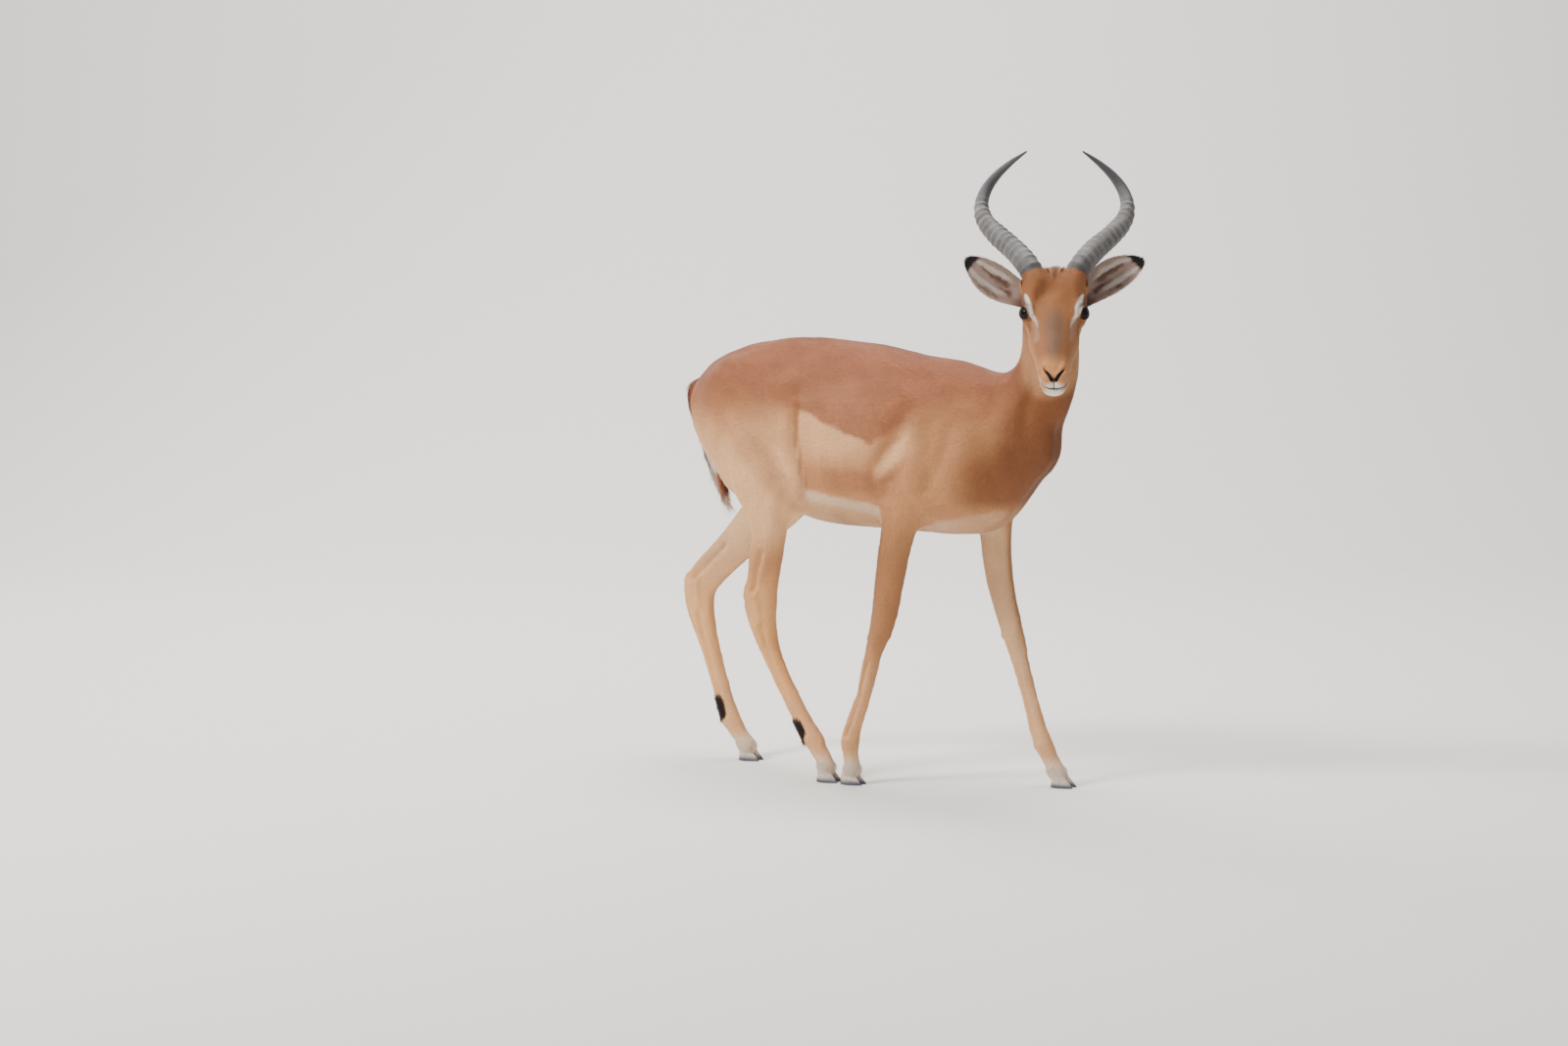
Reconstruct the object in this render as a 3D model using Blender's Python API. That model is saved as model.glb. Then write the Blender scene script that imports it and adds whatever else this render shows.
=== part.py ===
"""An adult impala ram at life size, walking and looking to its right, as named solids.

Metres, +X forward, +Y to the animal's left, +Z up. The flesh is modelled whole from lofts and
masses, made one skin, and parted by thin plates. Ears, eyes, horns, tail and hooves are fitted to
it. The origin ends on the floor under the middle of the whole animal.
"""

import math

import bmesh
import bpy
import numpy as np
from mathutils import Matrix, Vector

GAP = 0.0003  # between neighbouring solids
VOXEL = 0.004
FLESH_TRIANGLES = 4600
SECTION_SIDES = 24
FOLD_ANGLE = math.radians(90)  # between neighbouring faces of the flesh

# Body heights and widths that the rest follows
LOIN_HEIGHT = 0.930
WITHERS_HEIGHT = 0.888
BELLY_HEIGHT = 0.529
BARREL_HALF_WIDTH = 0.130

# The head, set by the middle of its horn bases
POLL = Vector((0.485, -0.130, 1.061))
HEAD_TURN = math.radians(-67)  # from straight ahead, to the animal's right
HEAD_DROP = math.radians(57)  # of the face's line, below level
EYE_ALONG = 0.072  # eye centre, along the face from the horn bases
EYE_BELOW = 0.018
EYE_OUT = 0.0535
EYE_RADIUS = 0.0175
HORN_RADIUS = 0.0232
HORN_OUT = 0.041
EAR_LENGTH = 0.148
EAR_HALF_WIDTH = 0.034

HOOF_LENGTH = 0.052
CLAW_WIDTH = 0.0195
HOOF_HEIGHT = 0.034
HOOF_SPLIT = 0.0016  # between the two claws of a foot

FACING = Vector((math.cos(HEAD_TURN), math.sin(HEAD_TURN), 0))
UP = Vector((0, 0, 1))
HEAD_NOSE = FACING * math.cos(HEAD_DROP) - UP * math.sin(HEAD_DROP)  # along the face
HEAD_BROW = FACING * math.sin(HEAD_DROP) + UP * math.cos(HEAD_DROP)  # out of the face
HEAD_LEFT = UP.cross(FACING)


def in_head(along, out, left):
    """A point of the head: along the face from the horn bases, out of the face, to its left."""
    return POLL + HEAD_NOSE * along + HEAD_BROW * out + HEAD_LEFT * left


# ---------------------------------------------------------------- shapes


def smooth_rows(rows, steps):
    """Rows of numbers with steps - 1 more between each two, on a Catmull-Rom curve."""
    rows = [np.array(row, float) for row in rows]
    ends = [2 * rows[0] - rows[1]] + rows + [2 * rows[-1] - rows[-2]]
    dense = []
    for i in range(1, len(ends) - 2):
        a, b, c, d = ends[i - 1 : i + 3]
        for step in range(steps):
            t = step / steps
            curve = 2 * b + (c - a) * t + (2 * a - 5 * b + 4 * c - d) * t**2
            dense.append((curve + (3 * b - a - 3 * c + d) * t**3) / 2)
    dense.append(rows[-1])
    return dense


def bridge_rings(bm, rings):
    """Skins rings of points into a closed tube with fanned ends."""
    rings = [[bm.verts.new(point) for point in ring] for ring in rings]
    sides = len(rings[0])
    for low, high in zip(rings, rings[1:]):
        for i in range(sides):
            j = (i + 1) % sides
            bm.faces.new((low[i], low[j], high[j], high[i]))
    bm.faces.new(list(reversed(rings[0])))
    bm.faces.new(rings[-1])


def oval(centre, side, out, half_side, half_out, egg, square, sides):
    """A ring round centre. egg narrows it towards out, and square over 2 fills its corners."""
    ring = []
    for i in range(sides):
        angle = 2 * math.pi * i / sides
        c, s = math.cos(angle), math.sin(angle)
        c = math.copysign(abs(c) ** (2 / square), c)
        s = math.copysign(abs(s) ** (2 / square), s)
        ring.append(centre + side * (half_side * c * (1 - egg * s)) + out * (half_out * s))
    return ring


def loft(bm, rows, side, along=None, square=2.0, steps=4, sides=SECTION_SIDES):
    """A tube through rows of x, y, z, half width, half depth and egg, with width along side."""
    rows = smooth_rows([tuple(row) + (0,) * (6 - len(row)) for row in rows], steps)
    centres = [Vector(row[:3]) for row in rows]
    rings = []
    for i, row in enumerate(rows):
        ahead = along or centres[min(i + 1, len(rows) - 1)] - centres[max(i - 1, 0)]
        ahead = ahead.normalized()
        across = (side - ahead * side.dot(ahead)).normalized()
        out = ahead.cross(across)
        rings.append(oval(centres[i], across, out, *row[3:6], square, sides))
    bridge_rings(bm, rings)


def mass(bm, centre, radii, tilt=0.0, lean=0.0):
    """A muscle: an ellipsoid tilted about Y (its top forwards) and then leant about X."""
    turn = Matrix.Rotation(lean, 4, "X") @ Matrix.Rotation(tilt, 4, "Y")
    place = Matrix.Translation(centre) @ turn @ Matrix.Diagonal((*radii, 1))
    bmesh.ops.create_icosphere(bm, subdivisions=3, radius=1, matrix=place)


def head_mass(bm, along, out, left, radii):
    """An ellipsoid on the head's own axes."""
    axes = Matrix((HEAD_NOSE, HEAD_LEFT, HEAD_BROW)).transposed().to_4x4()
    place = Matrix.Translation(in_head(along, out, left)) @ axes @ Matrix.Diagonal((*radii, 1))
    bmesh.ops.create_icosphere(bm, subdivisions=3, radius=1, matrix=place)


def object_of(bm, name):
    """A new object of the bmesh, with its faces turned outwards."""
    bmesh.ops.recalc_face_normals(bm, faces=bm.faces)
    mesh = bpy.data.meshes.new(name)
    bm.to_mesh(mesh)
    bm.free()
    obj = bpy.data.objects.new(name, mesh)
    bpy.context.scene.collection.objects.link(obj)
    return obj


def apply_modifier(obj, kind, **settings):
    modifier = obj.modifiers.new(kind.title(), kind)
    for key, value in settings.items():
        setattr(modifier, key, value)
    bpy.context.view_layer.objects.active = obj
    bpy.ops.object.modifier_apply(modifier=modifier.name)


def subtract(obj, cutter):
    """Cuts cutter out of obj, and deletes it."""
    apply_modifier(obj, "BOOLEAN", operation="DIFFERENCE", object=cutter)
    bpy.data.objects.remove(cutter)


def swollen(obj, by):
    """A copy of obj that is bigger all round."""
    bm = bmesh.new()
    bm.from_mesh(obj.data)
    bm.normal_update()
    for vert in bm.verts:
        vert.co += vert.normal * by * min(vert.calc_shell_factor(), 2)
    return object_of(bm, obj.name + "_swollen")


# ---------------------------------------------------------------- flesh


def trunk(bm):
    """Rows hold x, the back's and the belly's height, half width and egg."""
    w = BARREL_HALF_WIDTH
    table = (
        (-0.388, 0.820, 0.750, 0.28 * w, 0.0),
        (-0.370, 0.848, 0.700, 0.50 * w, 0.05),
        (-0.325, 0.887, 0.640, 0.74 * w, 0.12),
        (-0.250, 0.914, 0.592, 0.88 * w, 0.16),
        (-0.160, LOIN_HEIGHT, 0.560, 0.92 * w, 0.16),
        (-0.070, LOIN_HEIGHT, 0.535, 0.97 * w, 0.12),
        (0.050, 0.917, BELLY_HEIGHT, 1.02 * w, 0.08),
        (0.150, 0.897, 0.526, 1.00 * w, 0.08),
        (0.230, WITHERS_HEIGHT, 0.524, 0.92 * w, 0.16),
        (0.300, 0.866, 0.534, 0.78 * w, 0.16),
        (0.350, 0.835, 0.568, 0.62 * w, 0.05),
        (0.400, 0.800, 0.632, 0.46 * w, 0.0),
        (0.436, 0.768, 0.688, 0.26 * w, 0.0),
    )
    rows = [(x, 0, (top + low) / 2, half, (top - low) / 2, egg) for x, top, low, half, egg in table]
    loft(bm, rows, Vector((0, 1, 0)), along=Vector((1, 0, 0)), square=2.2)


def neck(bm):
    rows = (
        (0.240, 0.000, 0.740, 0.085, 0.150, 0.10),
        (0.330, 0.000, 0.766, 0.078, 0.110, 0.10),
        (0.386, 0.000, 0.808, 0.066, 0.084, 0.08),
        (0.416, 0.000, 0.860, 0.057, 0.068, 0.05),
        (0.425, -0.004, 0.920, 0.052, 0.060, 0.0),
        (0.428, -0.018, 0.975, 0.050, 0.056, 0.0),
        (0.436, -0.042, 1.018, 0.047, 0.050, 0.0),
        (0.448, -0.066, 1.042, 0.038, 0.036, 0.0),
    )
    loft(bm, rows, Vector((0, 1, 0)))
    mass(bm, (0.392, 0, 0.722), (0.060, 0.060, 0.082))
    mass(bm, (0.320, 0, 0.742), (0.085, 0.090, 0.085))


def head(bm):
    """Rows hold the place along the face, its top and bottom, half width and egg."""
    table = (
        (-0.050, -0.058, -0.098, 0.034, 0.0),
        (-0.030, -0.032, -0.112, 0.050, 0.0),
        (0.000, -0.003, -0.122, 0.056, -0.05),
        (0.035, 0.005, -0.132, 0.056, -0.12),
        (0.070, 0.004, -0.128, 0.054, -0.16),
        (0.105, 0.000, -0.113, 0.048, -0.12),
        (0.140, -0.003, -0.095, 0.041, -0.05),
        (0.170, -0.006, -0.084, 0.0365, 0.0),
        (0.198, -0.009, -0.076, 0.0345, 0.04),
        (0.220, -0.014, -0.073, 0.0330, 0.06),
        (0.236, -0.020, -0.068, 0.0285, 0.06),
        (0.245, -0.027, -0.058, 0.0200, 0.0),
    )
    rows = []
    for along, top, low, half, egg in table:
        centre = in_head(along, (top + low) / 2, 0)
        rows.append((*centre, half, (top - low) / 2, egg))
    loft(bm, rows, HEAD_LEFT, along=HEAD_NOSE, square=2.25, sides=32)
    head_mass(bm, 0.004, -0.010, 0, (0.034, 0.034, 0.022))  # brow between the horns
    for left in (-1, 1):
        head_mass(bm, EYE_ALONG - 0.004, -0.022, left * 0.0435, (0.036, 0.0245, 0.0215))  # orbit
        head_mass(bm, 0.030, -0.020, left * 0.040, (0.042, 0.0250, 0.0260))  # temple
        head_mass(bm, 0.050, -0.082, left * 0.034, (0.050, 0.024, 0.040))  # jaw muscle
        head_mass(bm, 0.120, -0.040, left * 0.030, (0.050, 0.020, 0.022))  # cheek bone
        head_mass(bm, 0.217, -0.024, left * 0.019, (0.020, 0.014, 0.014))  # nostril
        head_mass(bm, 0.224, -0.044, left * 0.016, (0.019, 0.015, 0.015))  # upper lip
        head_mass(bm, -0.006, -0.050, left * 0.052, (0.022, 0.020, 0.024))  # ear root
        head_mass(bm, 0.014, -0.004, left * (HORN_OUT - 0.004), (0.030, 0.0270, 0.0265))  # horn root


def leg(bm, rows):
    """Rows run down a leg: x, y, z, half width and half depth."""
    loft(bm, rows, Vector((0, 1, 0)))


def foreleg_right(bm):
    mass(bm, (0.246, -0.068, 0.722), (0.088, 0.045, 0.152), tilt=0.28, lean=-0.24)
    mass(bm, (0.218, -0.085, 0.632), (0.098, 0.042, 0.066), tilt=-0.35)
    rows = (
        (0.190, -0.090, 0.680, 0.038, 0.060),
        (0.158, -0.093, 0.620, 0.038, 0.056),
        (0.133, -0.092, 0.560, 0.034, 0.045),
        (0.118, -0.090, 0.500, 0.030, 0.0375),
        (0.107, -0.088, 0.440, 0.0265, 0.0340),
        (0.096, -0.086, 0.375, 0.0240, 0.0310),
        (0.087, -0.085, 0.335, 0.0235, 0.0275),
        (0.076, -0.084, 0.302, 0.0220, 0.0230),
        (0.063, -0.083, 0.262, 0.0175, 0.0205),
        (0.049, -0.082, 0.210, 0.0165, 0.0200),
        (0.034, -0.081, 0.160, 0.0165, 0.0195),
        (0.019, -0.080, 0.118, 0.0180, 0.0205),
        (0.012, -0.080, 0.088, 0.0205, 0.0225),
        (0.014, -0.080, 0.065, 0.0185, 0.0180),
        (0.018, -0.080, 0.040, 0.0205, 0.0190),
        (0.019, -0.080, 0.022, 0.0205, 0.0200),
    )
    leg(bm, rows)


def foreleg_left(bm):
    mass(bm, (0.262, 0.068, 0.722), (0.088, 0.045, 0.152), tilt=0.25, lean=0.24)
    mass(bm, (0.280, 0.082, 0.632), (0.085, 0.042, 0.070), tilt=-0.15)
    rows = (
        (0.275, 0.088, 0.680, 0.038, 0.060),
        (0.268, 0.091, 0.620, 0.038, 0.054),
        (0.265, 0.090, 0.560, 0.034, 0.044),
        (0.267, 0.089, 0.505, 0.030, 0.0365),
        (0.273, 0.088, 0.448, 0.0265, 0.0330),
        (0.284, 0.087, 0.395, 0.0240, 0.0295),
        (0.302, 0.086, 0.335, 0.0235, 0.0265),
        (0.314, 0.085, 0.295, 0.0215, 0.0225),
        (0.328, 0.084, 0.250, 0.0175, 0.0200),
        (0.342, 0.083, 0.205, 0.0165, 0.0195),
        (0.355, 0.083, 0.160, 0.0165, 0.0195),
        (0.368, 0.082, 0.118, 0.0180, 0.0205),
        (0.382, 0.082, 0.083, 0.0205, 0.0225),
        (0.396, 0.082, 0.058, 0.0185, 0.0190),
        (0.410, 0.082, 0.036, 0.0205, 0.0195),
        (0.416, 0.082, 0.022, 0.0205, 0.0200),
    )
    leg(bm, rows)


def hindleg_right(bm):
    mass(bm, (-0.243, -0.066, 0.752), (0.100, 0.054, 0.140), tilt=-0.20)
    mass(bm, (-0.175, -0.080, 0.665), (0.085, 0.042, 0.125), tilt=-0.50)
    rows = (
        (-0.228, -0.080, 0.720, 0.050, 0.096),
        (-0.202, -0.088, 0.655, 0.046, 0.090),
        (-0.181, -0.092, 0.600, 0.040, 0.072),
        (-0.175, -0.092, 0.555, 0.034, 0.055),
        (-0.176, -0.090, 0.510, 0.030, 0.0450),
        (-0.182, -0.088, 0.460, 0.0265, 0.0400),
        (-0.190, -0.086, 0.410, 0.0240, 0.0385),
        (-0.195, -0.085, 0.368, 0.0240, 0.0395),
        (-0.189, -0.084, 0.325, 0.0225, 0.0330),
        (-0.176, -0.083, 0.280, 0.0190, 0.0255),
        (-0.158, -0.082, 0.238, 0.0175, 0.0220),
        (-0.136, -0.081, 0.195, 0.0170, 0.0210),
        (-0.113, -0.079, 0.152, 0.0175, 0.0210),
        (-0.092, -0.078, 0.115, 0.0190, 0.0215),
        (-0.074, -0.077, 0.086, 0.0210, 0.0235),
        (-0.058, -0.077, 0.060, 0.0190, 0.0195),
        (-0.045, -0.077, 0.038, 0.0205, 0.0195),
        (-0.040, -0.077, 0.022, 0.0205, 0.0190),
    )
    leg(bm, rows)


def hindleg_left(bm):
    mass(bm, (-0.246, 0.066, 0.752), (0.100, 0.054, 0.140), tilt=-0.08)
    mass(bm, (-0.205, 0.080, 0.655), (0.088, 0.042, 0.120), tilt=-0.20)
    rows = (
        (-0.228, 0.080, 0.715, 0.050, 0.098),
        (-0.220, 0.090, 0.645, 0.047, 0.098),
        (-0.240, 0.096, 0.585, 0.042, 0.078),
        (-0.285, 0.096, 0.530, 0.035, 0.060),
        (-0.335, 0.094, 0.480, 0.029, 0.0470),
        (-0.378, 0.092, 0.438, 0.0255, 0.0410),
        (-0.412, 0.091, 0.404, 0.0245, 0.0400),
        (-0.434, 0.090, 0.370, 0.0240, 0.0400),
        (-0.432, 0.090, 0.325, 0.0225, 0.0345),
        (-0.420, 0.090, 0.280, 0.0195, 0.0280),
        (-0.408, 0.091, 0.238, 0.0180, 0.0240),
        (-0.395, 0.092, 0.195, 0.0175, 0.0225),
        (-0.382, 0.093, 0.152, 0.0180, 0.0220),
        (-0.369, 0.094, 0.112, 0.0190, 0.0225),
        (-0.356, 0.095, 0.080, 0.0210, 0.0235),
        (-0.338, 0.095, 0.055, 0.0190, 0.0195),
        (-0.322, 0.095, 0.036, 0.0205, 0.0195),
        (-0.316, 0.095, 0.022, 0.0205, 0.0200),
    )
    leg(bm, rows)


def relax(mesh, passes):
    """Rounds the creases between masses, fully on the trunk and least on the head and legs."""
    count = len(mesh.vertices)
    points = np.empty(count * 3)
    mesh.vertices.foreach_get("co", points)
    points = points.reshape(-1, 3)
    edges = np.empty(len(mesh.edges) * 2, int)
    mesh.edges.foreach_get("vertices", edges)
    first, second = edges.reshape(-1, 2).T
    degree = np.bincount(edges, minlength=count)[:, None]
    to_head = np.linalg.norm(points - np.array(in_head(0.09, -0.05, 0)), axis=1)
    weight = np.clip((points[:, 2] - 0.45) / 0.15, 0.10, 1) * np.clip((to_head - 0.12) / 0.1, 0.14, 1)
    for _ in range(passes):
        total = np.zeros_like(points)
        for axis in range(3):
            total[:, axis] += np.bincount(first, points[second, axis], count)
            total[:, axis] += np.bincount(second, points[first, axis], count)
        points += (total / degree - points) * 0.6 * weight[:, None]
    mesh.vertices.foreach_set("co", points.ravel())


def unfold(mesh):
    """Evens out the few faces that lie folded over their neighbours once the skin is coarse."""
    bm = bmesh.new()
    bm.from_mesh(mesh)
    for _ in range(20):
        bm.normal_update()
        folded = [edge for edge in bm.edges if edge.calc_face_angle(0) > FOLD_ANGLE]
        verts = list({vert for edge in folded for face in edge.link_faces for vert in face.verts})
        bmesh.ops.smooth_vert(
            bm, verts=verts, factor=0.5, use_axis_x=True, use_axis_y=True, use_axis_z=True
        )
    bm.to_mesh(mesh)
    bm.free()


def flesh():
    """The animal without its ears, eyes, horns, tail and hooves, as one closed skin."""
    bm = bmesh.new()
    for build in (trunk, neck, head, foreleg_right, foreleg_left, hindleg_right, hindleg_left):
        build(bm)
    obj = object_of(bm, "flesh")
    apply_modifier(obj, "REMESH", mode="VOXEL", voxel_size=VOXEL)
    relax(obj.data, 60)
    coarse = obj.vertex_groups.new(name="coarse")
    nose = in_head(0.12, -0.05, 0)
    for vert in obj.data.vertices:
        off_head = max(0.0, min(1.0, ((vert.co - nose).length - 0.14) / 0.08))
        up_leg = max(0.5, min(1.0, (vert.co.z - 0.40) / 0.25))
        coarse.add([vert.index], 0.80 + 0.20 * off_head * up_leg, "REPLACE")
    triangles = 2 * len(obj.data.polygons)
    apply_modifier(
        obj,
        "DECIMATE",
        ratio=FLESH_TRIANGLES / triangles,
        use_collapse_triangulate=True,
        vertex_group="coarse",
        vertex_group_factor=1.0,
    )
    obj.vertex_groups.clear()
    unfold(obj.data)
    return obj


# ---------------------------------------------------------------- parts fitted to the flesh


def ear(side):
    """A leaf-shaped cup that opens forwards. Its rings run from the root to the tip."""
    root = in_head(0.014, -0.060, side * 0.052)
    reach = (HEAD_LEFT * (side * 0.80) + UP * 0.50 - FACING * 0.16).normalized()
    opening = FACING + HEAD_LEFT * (side * 0.12)
    opening = (opening - reach * opening.dot(reach)).normalized()
    across = reach.cross(opening)
    rings = []
    steps = 9
    for step in range(steps + 1):
        t = step / steps
        widening = 0.66 + 0.34 * math.sin(math.pi * min(t, 0.45) / 0.9)
        half = EAR_HALF_WIDTH * widening * (1 - max(0.0, (t - 0.45) / 0.55) ** 2.4)
        half = max(half, 0.0035)
        cup = (0.030 * (1 - t) ** 0.8 + 0.006) * half / EAR_HALF_WIDTH
        centre = root + reach * (EAR_LENGTH * t) + across * (-0.006 * math.sin(math.pi * t))
        outer, inner = [], []
        for i in range(7):
            a = i / 3 - 1
            wall = 0.0012 + 0.0016 * (1 - a * a) * (1 - t)
            back = centre + across * (half * a) - opening * (cup * (1 - a * a))
            outer.append(back)
            inner.append(back + opening * wall * 1.5)
        rings.append(outer + inner[::-1])
    bm = bmesh.new()
    bridge_rings(bm, rings)
    return object_of(bm, "ear_left" if side > 0 else "ear_right")


def horn(side):
    """A lyre-shaped horn, ringed for its lower two thirds, from rows of side, back and up."""
    rows = (
        (-0.006, -0.002, -0.016),
        (0.010, 0.019, 0.018),
        (0.039, 0.064, 0.050),
        (0.074, 0.114, 0.079),
        (0.098, 0.160, 0.105),
        (0.107, 0.196, 0.134),
        (0.100, 0.218, 0.165),
        (0.080, 0.226, 0.195),
        (0.050, 0.221, 0.223),
        (0.015, 0.203, 0.248),
    )
    root = in_head(0, 0.004, side * HORN_OUT)
    path = []
    for out, back, up in smooth_rows(rows, 8):
        path.append(root + HEAD_LEFT * (side * out) - FACING * back + UP * up)
    lengths = [0.0]
    for a, b in zip(path, path[1:]):
        lengths.append(lengths[-1] + (b - a).length)
    ringed, crests = 0.66, 12
    stations = [i / (2 * crests) * ringed for i in range(2 * crests)]
    stations += [ringed + (1 - ringed) * i / 7 for i in range(8)]
    rings = []
    for number, t in enumerate(stations):
        place = t * lengths[-1]
        i = min(max(k for k, length in enumerate(lengths) if length <= place), len(path) - 2)
        share = (place - lengths[i]) / (lengths[i + 1] - lengths[i])
        centre = path[i].lerp(path[i + 1], share)
        ahead = (path[min(i + 2, len(path) - 1)] - path[max(i - 1, 0)]).normalized()
        across = (HEAD_LEFT - ahead * HEAD_LEFT.dot(ahead)).normalized()
        radius = HORN_RADIUS * (1 - 0.10 * t - 0.83 * t**2.3)
        if t < ringed and number > 1:
            radius += (0.0012 if number % 2 else -0.0010) * (1 - 0.4 * t)
        if t > 0.99:
            radius = 0.0022
        rings.append(oval(centre, across, ahead.cross(across), radius, radius * 1.08, 0, 2, 9))
    bm = bmesh.new()
    bridge_rings(bm, rings)
    return object_of(bm, "horn_left" if side > 0 else "horn_right")


def eye(side):
    bm = bmesh.new()
    place = Matrix.Translation(in_head(EYE_ALONG, -EYE_BELOW, side * EYE_OUT))
    axes = Matrix((HEAD_NOSE, HEAD_LEFT, HEAD_BROW)).transposed().to_4x4()
    bmesh.ops.create_uvsphere(
        bm, u_segments=12, v_segments=8, radius=EYE_RADIUS, matrix=place @ axes
    )
    return object_of(bm, "eye_left" if side > 0 else "eye_right")


def tail():
    """It hangs against the buttocks, widest where its long hair starts."""
    rows = (
        (-0.370, 0, 0.828, 0.018, 0.016),
        (-0.398, 0, 0.813, 0.018, 0.016),
        (-0.400, 0, 0.778, 0.017, 0.013),
        (-0.382, 0, 0.725, 0.017, 0.012),
        (-0.360, 0, 0.670, 0.018, 0.012),
        (-0.336, 0, 0.615, 0.016, 0.011),
        (-0.322, 0, 0.582, 0.011, 0.009),
        (-0.314, 0, 0.562, 0.003, 0.003),
    )
    bm = bmesh.new()
    loft(bm, rows, Vector((0, 1, 0)), steps=1, sides=8)
    return object_of(bm, "tail")


def claw(name, toe, side):
    """One half of a hoof: a flat sole, pointed at the toe, with walls that slope back."""
    rings = []
    outline = 12
    heel = toe[0] - HOOF_LENGTH
    levels = ((0.0, 0.95), (0.0025, 1.0), (0.5 * HOOF_HEIGHT, 0.94), (HOOF_HEIGHT, 0.85))
    for height, scale in levels:
        ring = []
        for i in range(outline):
            angle = 2 * math.pi * i / outline
            along = math.cos(angle)
            broad = math.sin(angle) * (1 - 0.30 * along - 0.10 * along**2)
            x = heel + HOOF_LENGTH * (0.5 + 0.5 * along * scale)
            share = (x - heel) / HOOF_LENGTH
            x -= height * 0.75 * share
            y = toe[1] + side * (HOOF_SPLIT + CLAW_WIDTH * (0.5 + 0.46 * broad * scale * side))
            z = height * (0.62 + 0.38 * share)
            ring.append(Vector((x, y, z)))
        rings.append(ring)
    bm = bmesh.new()
    bridge_rings(bm, rings)
    return object_of(bm, name)


# ---------------------------------------------------------------- parting the flesh


def plate(centre, normal, along, length, width):
    """A thin box that parts the flesh at right angles to normal."""
    normal = Vector(normal).normalized()
    first = Vector(along)
    first = (first - normal * first.dot(normal)).normalized()
    second = normal.cross(first)
    turn = Matrix((first, second, normal)).transposed().to_4x4()
    size = Matrix.Diagonal((length, width, GAP, 1))
    bm = bmesh.new()
    bmesh.ops.create_cube(bm, size=1, matrix=Matrix.Translation(centre) @ turn @ size)
    return object_of(bm, "plate")


def part_flesh(obj):
    """Cuts the flesh with plates, and returns its pieces."""
    ahead = Vector((1, 0, 0))
    nape_normal = HEAD_BROW * 0.985 - HEAD_NOSE * 0.165
    plates = [
        plate((0.378, 0, 0.790), (0.757, 0, 0.652), (0, 1, 0), 0.30, 0.40),
        plate(in_head(0.000, -0.146, 0), nape_normal, HEAD_LEFT, 0.16, 0.24),
        plate((0.140, -0.092, 0.5590), (0, 0.83, 1), ahead, 0.22, 0.120),
        plate((0.270, 0.092, 0.5590), (0, -0.83, 1), ahead, 0.22, 0.120),
        plate((-0.235, -0.100, 0.648), (0.37, 1.08, 1), ahead, 0.42, 0.275),
        plate((-0.235, 0.100, 0.648), (0.37, -1.08, 1), ahead, 0.42, 0.275),
        plate((0.077, -0.084, 0.305), (0.27, 0, 0.96), ahead, 0.10, 0.10),
        plate((0.312, 0.085, 0.305), (-0.30, 0, 0.95), ahead, 0.10, 0.10),
        plate((-0.192, -0.084, 0.345), (-0.20, 0, 0.98), ahead, 0.14, 0.10),
        plate((-0.432, 0.090, 0.350), (-0.10, 0, 0.99), ahead, 0.14, 0.10),
    ]
    for cutter in plates:
        subtract(obj, cutter)
    bpy.ops.object.select_all(action="DESELECT")
    obj.select_set(True)
    bpy.context.view_layer.objects.active = obj
    bpy.ops.mesh.separate(type="LOOSE")
    return list(bpy.context.selected_objects)


def name_pieces(pieces):
    """Names each piece of flesh by the place that its middle is nearest to."""
    places = {
        "trunk": (-0.05, 0, 0.74),
        "neck": (0.41, 0, 0.87),
        "head": in_head(0.08, -0.05, 0),
        "leg_front_right_upper": (0.12, -0.09, 0.48),
        "leg_front_right_lower": (0.04, -0.08, 0.17),
        "leg_front_left_upper": (0.28, 0.09, 0.48),
        "leg_front_left_lower": (0.36, 0.08, 0.17),
        "leg_rear_right_upper": (-0.20, -0.09, 0.55),
        "leg_rear_right_lower": (-0.13, -0.08, 0.18),
        "leg_rear_left_upper": (-0.28, 0.09, 0.55),
        "leg_rear_left_lower": (-0.39, 0.09, 0.18),
    }
    for piece in pieces:
        corners = [Vector(corner) for corner in piece.bound_box]
        middle = sum(corners, Vector()) / 8
        name = min(places, key=lambda key: (Vector(places[key]) - middle).length)
        piece.name = piece.data.name = name
    return {piece.name: piece for piece in pieces}


# ---------------------------------------------------------------- finish

COLOURS = {
    "coat_rufous": (0.34, 0.135, 0.060, 0.85),
    "coat_tan": (0.50, 0.27, 0.14, 0.85),
    "ear_skin": (0.45, 0.30, 0.22, 0.80),
    "horn_grey": (0.115, 0.105, 0.100, 0.55),
    "hoof_dark": (0.060, 0.055, 0.055, 0.45),
    "eye_dark": (0.012, 0.008, 0.006, 0.08),
}


def material(name):
    """The Principled material of one finish, made once."""
    if name in bpy.data.materials:
        return bpy.data.materials[name]
    made = bpy.data.materials.new(name)
    made.use_nodes = True
    shader = made.node_tree.nodes["Principled BSDF"]
    red, green, blue, roughness = COLOURS[name]
    shader.inputs["Base Color"].default_value = (red, green, blue, 1)
    shader.inputs["Roughness"].default_value = roughness
    shader.inputs["Metallic"].default_value = 0.0
    return made


def finish_of(name):
    for start, finish in (
        ("ear", "ear_skin"),
        ("eye", "eye_dark"),
        ("horn", "horn_grey"),
        ("hoof", "hoof_dark"),
        ("leg", "coat_tan"),
    ):
        if name.startswith(start):
            return finish
    return "coat_rufous"


FEET = {  # the toes' x and y
    "front_right": (0.046, -0.080),
    "front_left": (0.452, 0.082),
    "rear_right": (-0.011, -0.077),
    "rear_left": (-0.285, 0.095),
}


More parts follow.
